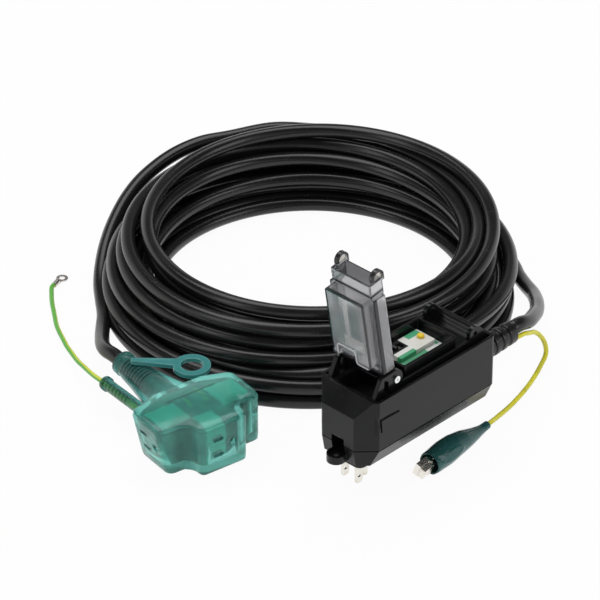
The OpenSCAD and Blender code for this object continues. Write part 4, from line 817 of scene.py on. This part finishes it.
# Sizes in metres: the tap's middle level, the lean of its left lobe, as a slope and
# over a band of y, and the sockets' slots and round holes
tap_middle, lobe_slope, lobe_band = 0.0195, 0.22, (-0.034, -0.012)
socket_deep, side_socket_deep, side_from_front = (0.0160, 0.0163), (0.0235, 0.0237), 0.008
slot_across, slot_levels, slot_soft = (-0.0085, -0.0010), ((0.0118, 0.0144), (0.0245, 0.0271)), 0.0001
hole_across, hole_square = 0.00714, (0.0000066, 0.0000074)


def on_tap(finish):
    """The tap's own frame: x out of the front socket, y to the right lobe."""
    return finish.node("Mapping", {"vector_type": "TEXTURE"},
                       {"Vector": finish.place(), "Location": (*tap_at, 0), "Rotation": (0, 0, tap_turn)})


def socket_hole(finish, out, over, z):
    """Where one socket goes in past its face: two slots, and a round hole where the squared
    distances over and up from its middle add up to less than its radius squared."""
    low_slot, high_slot = (finish.within(z, *levels, slot_soft) for levels in slot_levels)
    slots = finish.within(over, *slot_across, slot_soft) * (low_slot + high_slot)
    aside, up = over - hole_across, z - tap_middle
    return finish.step(out, *socket_deep) * (slots + 1 - finish.step(aside * aside + up * up, *hole_square))


def cavities(finish, x, y, z):
    """Where the three sockets go in: past the front face along x, and past each side face
    along y, where x takes the place of y."""
    sideways = y.maths("ABSOLUTE")
    past_side = finish.step(sideways, *side_socket_deep)
    side_holes = socket_hole(finish, sideways - side_from_front, x, z) * past_side
    return socket_hole(finish, x, y, z) + side_holes


def leaned(points):
    """Leans the left lobe out at its top: in the tap's own frame y moves by -0.22 (z - 19.5 mm) w,
    where w rises as 3 k^2 - 2 k^3 while y goes from -12 to -34 mm."""
    aside = np.array((-math.sin(tap_turn), math.cos(tap_turn)))
    y = (points[:, :2] - tap_at) @ aside
    k = np.clip((lobe_band[1] - y) / (lobe_band[1] - lobe_band[0]), 0, 1)
    slide = -lobe_slope * (points[:, 2] - tap_middle) * (3 * k ** 2 - 2 * k ** 3)
    points[:, :2] += slide[:, None] * aside
    return points


def reworked(name, node, finish):
    """A copy of a solid's mesh, merged, with its flat top and bottom filled anew inside their
    outlines, and the left lobe leaned. It replaces the solid."""
    shape = bmesh.new()
    shape.from_mesh(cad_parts[node].data)
    bmesh.ops.remove_doubles(shape, verts=shape.verts, dist=0.000002)
    levels = [v.co.z for v in shape.verts]
    for level, up in ((max(levels), 1), (min(levels), -1)):
        flat = [f for f in shape.faces if all(abs(v.co.z - level) < 0.00002 for v in f.verts)]
        bmesh.ops.delete(shape, geom=flat, context="FACES")
        rim = [e for e in shape.edges if e.is_boundary]
        made = bmesh.ops.holes_fill(shape, edges=rim, sides=0)["faces"]
        for face in bmesh.ops.triangulate(shape, faces=made, ngon_method="EAR_CLIP")["faces"]:
            face.normal_update()
            if face.normal.z * up < 0:
                face.normal_flip()
    mesh = bpy.data.meshes.new(name)
    shape.to_mesh(mesh)
    shape.free()
    places = np.empty(len(mesh.vertices) * 3)
    mesh.vertices.foreach_get("co", places)
    mesh.vertices.foreach_set("co", leaned(places.reshape(-1, 3)).ravel())
    mesh.set_sharp_from_angle(angle=math.radians(20))
    made = placed(name, mesh, finish)
    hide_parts(node)
    return made


def near_edge(finish, radius, low, high):
    """How close a place is to an edge: a step of 1 less the cosine between the surface's
    direction and its direction with the edges rounded by the radius."""
    ways = {0: finish.rounded(radius), 1: finish.node("NewGeometry", out=1)}
    cosine = finish.node("VectorMath", {"operation": "DOT_PRODUCT"}, ways, out=1)
    return finish.step(1 - cosine, low, high)


# Bands of the moulding in metres: its parting line, the groove in the top of the
# front lobe, the scoops between the lobes, the neck and its ribs
parting_z = (0.0192, 0.0198)
groove_x, groove_y, groove_z = (-0.0098, -0.0089), (-0.020, 0.020), (0.0384, 0.0387)
scoop_x, scoop_y, scoop_square = 0.017, 0.022, (0.000035, 0.00016)
neck_x, ribs_x, ribs_wave = (-0.050, -0.026), (-0.0835, -0.0520), 1700

clear_teal = Finish("clear_teal", Transmission_Weight=0.82, IOR=1.38)
flow = clear_teal.noise(22, 3, 0.5)
haze = clear_teal.noise(140, 3, 0.6)
tap_x, tap_y, tap_z = (clear_teal.part(on_tap(clear_teal), axis) for axis in range(3))
mould_line = clear_teal.within(tap_z, *parting_z, 0.0002)
shaded_groove = (clear_teal.step(tap_z, *groove_z) * clear_teal.within(tap_x, *groove_x, 0.0002)
          * clear_teal.within(tap_y, *groove_y, 0.0006))
upright_y = tap_y + lobe_slope * (tap_z - tap_middle) * (1 - clear_teal.step(tap_y, *lobe_band))
# Painted shade: the sockets' slots and round holes are darkened past their faces
socket_shade = cavities(clear_teal, tap_x, upright_y, tap_z).maths("MINIMUM", 1.0)
past_x, past_y = tap_x - scoop_x, tap_y.maths("ABSOLUTE") - scoop_y
scoop_shade = 1 - clear_teal.step(past_x * past_x + past_y * past_y + 0.00004 * flow, *scoop_square)
neck_part = 1 - clear_teal.step(tap_x, *neck_x)
ribs = (clear_teal.within(tap_x, *ribs_x, 0.001)
        * clear_teal.step((tap_x * ribs_wave).maths("SINE"), -0.3, 0.5))
tint = clear_teal.tint(clear_teal.step(flow, 0.3, 0.7), (0.19, 0.72, 0.62), (0.32, 0.88, 0.79))
# Painted shade: the moulding is darkened near its edges and rounded corners
tint = clear_teal.tint(0.85 * near_edge(clear_teal, 0.0045, 0.01, 0.22), tint, (0.025, 0.17, 0.155))
# Painted shade: the scoops between the lobes are darkened
tint = clear_teal.tint(0.35 * scoop_shade, tint, (0.015, 0.18, 0.165))
tint = clear_teal.tint(0.55 * neck_part, tint, (0.06, 0.25, 0.24))
tint = clear_teal.tint(0.8 * ribs, tint, (0.01, 0.06, 0.06))
tint = clear_teal.tint(0.5 * mould_line, tint, (0.08, 0.36, 0.32))
# Painted shade: the groove in the front lobe's top and the sockets' slots and holes are painted near black
dark = (0.85 * shaded_groove).maths("MAXIMUM", 0.9 * socket_shade)
clear_teal.feed(Base_Color=clear_teal.tint(dark, tint, (0.004, 0.045, 0.04)),
                Roughness=0.12 + 0.08 * clear_teal.step(haze, 0.35, 0.7) + 0.05 * flow)
clear_teal.bump(flow + mould_line - shaded_groove, 0.00010, 0.0014)
tap_moulding = reworked("tap_moulding", "tap_body", clear_teal)


# -------------------- hanging strap of the tap
# A strap with a ring at its end, moulded in the same teal PVC but less clear;
# it is paler along its rims, and has faint flow marks along Y.

strap_teal = Finish("strap_teal", Transmission_Weight=0.45, IOR=1.42)
stretch_marks = strap_teal.noise(160, 3, 0.6, stretch=(1, 0.25, 1))
strap_rim = near_edge(strap_teal, 0.0016, 0.01, 0.2)
strap_body = strap_teal.tint(stretch_marks, (0.06, 0.34, 0.33), (0.11, 0.44, 0.43))
strap_teal.feed(Base_Color=strap_teal.tint(0.8 * strap_rim, strap_body, (0.30, 0.72, 0.70)),
                Roughness=0.12 + 0.14 * stretch_marks)
strap_teal.bump(stretch_marks, 0.00004, 0.0007)
dress(strap_teal, "tap_strap")


# -------------------- inside the tap
# Pale blocks round each socket's brass, with painted shade in the gaps and coloured cores between them, and
# the ribbed relief of the cable in the neck.

# Each pale block's bands in the tap's frame, in metres
front_x, front_y = (0.010, 0.013), (-0.0120, 0.0030)
left_x, left_y = (-0.010, 0.0105), (-0.036, -0.013)
right_x, right_y = (-0.012, 0.0125), (0.013, 0.036)
end_soft, side_soft = 0.0012, 0.0015

blocks = Finish("tap_blocks", Specular_IOR_Level=0.3)
block_x, block_y = (blocks.part(on_tap(blocks), axis) for axis in range(2))
wobble = 0.004 * (blocks.noise(120, 2) - 0.5)
out_x, over_y = block_x + wobble, block_y + wobble
front_block = blocks.step(out_x, *front_x) * blocks.within(over_y, *front_y, end_soft)
left_block = blocks.within(over_y, *left_y, side_soft) * blocks.within(out_x, *left_x, end_soft)
right_block = blocks.within(over_y, *right_y, side_soft) * blocks.within(out_x, *right_x, end_soft)
pale = front_block.maths("MAXIMUM", left_block.maths("MAXIMUM", right_block))
# Painted shade: away from the pale blocks the inner block is painted dark teal, with coloured cores painted
# into it
shaded_gaps = blocks.tint(blocks.step(blocks.noise(70, 3), 0.4, 0.6), (0.012, 0.055, 0.05), (0.06, 0.22, 0.16))
wires = blocks.step(blocks.noise(95, 2, stretch=(1.6, 0.7, 1)), 0.56, 0.66)
shaded_gaps = blocks.tint(wires * (1 - blocks.step(block_x, -0.004, 0.004)), shaded_gaps, (0.35, 0.42, 0.07))
pale_colour = blocks.tint(blocks.noise(55, 3), (0.45, 0.95, 0.80), (0.62, 1.0, 0.90))
blocks.feed(Base_Color=blocks.tint(pale, shaded_gaps, pale_colour), Roughness=0.4 + 0.2 * wires)
blocks.bump(pale, 0.0006)
tap_block = reworked("tap_inner_block", "tap_core", blocks)
dress(plated("bus_brass", (0.85, 0.62, 0.28), (0.5, 0.3, 0.12), 0.28, (1, 1, 0.2)),
      "tap_line_bus", "tap_neutral_bus", "tap_earth_bus")

ribbed = Finish("relief_grey_teal", Specular_IOR_Level=0.4)
rib_shade = ribbed.noise(180, 3)
ribbed.feed(Base_Color=ribbed.tint(rib_shade, (0.008, 0.020, 0.020), (0.02, 0.05, 0.048)),
            Roughness=0.35 + 0.2 * rib_shade)
ribbed.bump(rib_shade, 0.0001, 0.0002)
dress(ribbed, "tap_relief")
dress(striped, "tap_lead_tail")


# -------------------- ring terminal
# A tinned copper ring whose barrel is crimped on the end of the tap's earth
# lead; it lies flat on the table.

dress(plated("tinned_copper", (0.80, 0.78, 0.75), (0.6, 0.42, 0.28), 0.24, (1, 0.3, 1)), "ring_terminal")
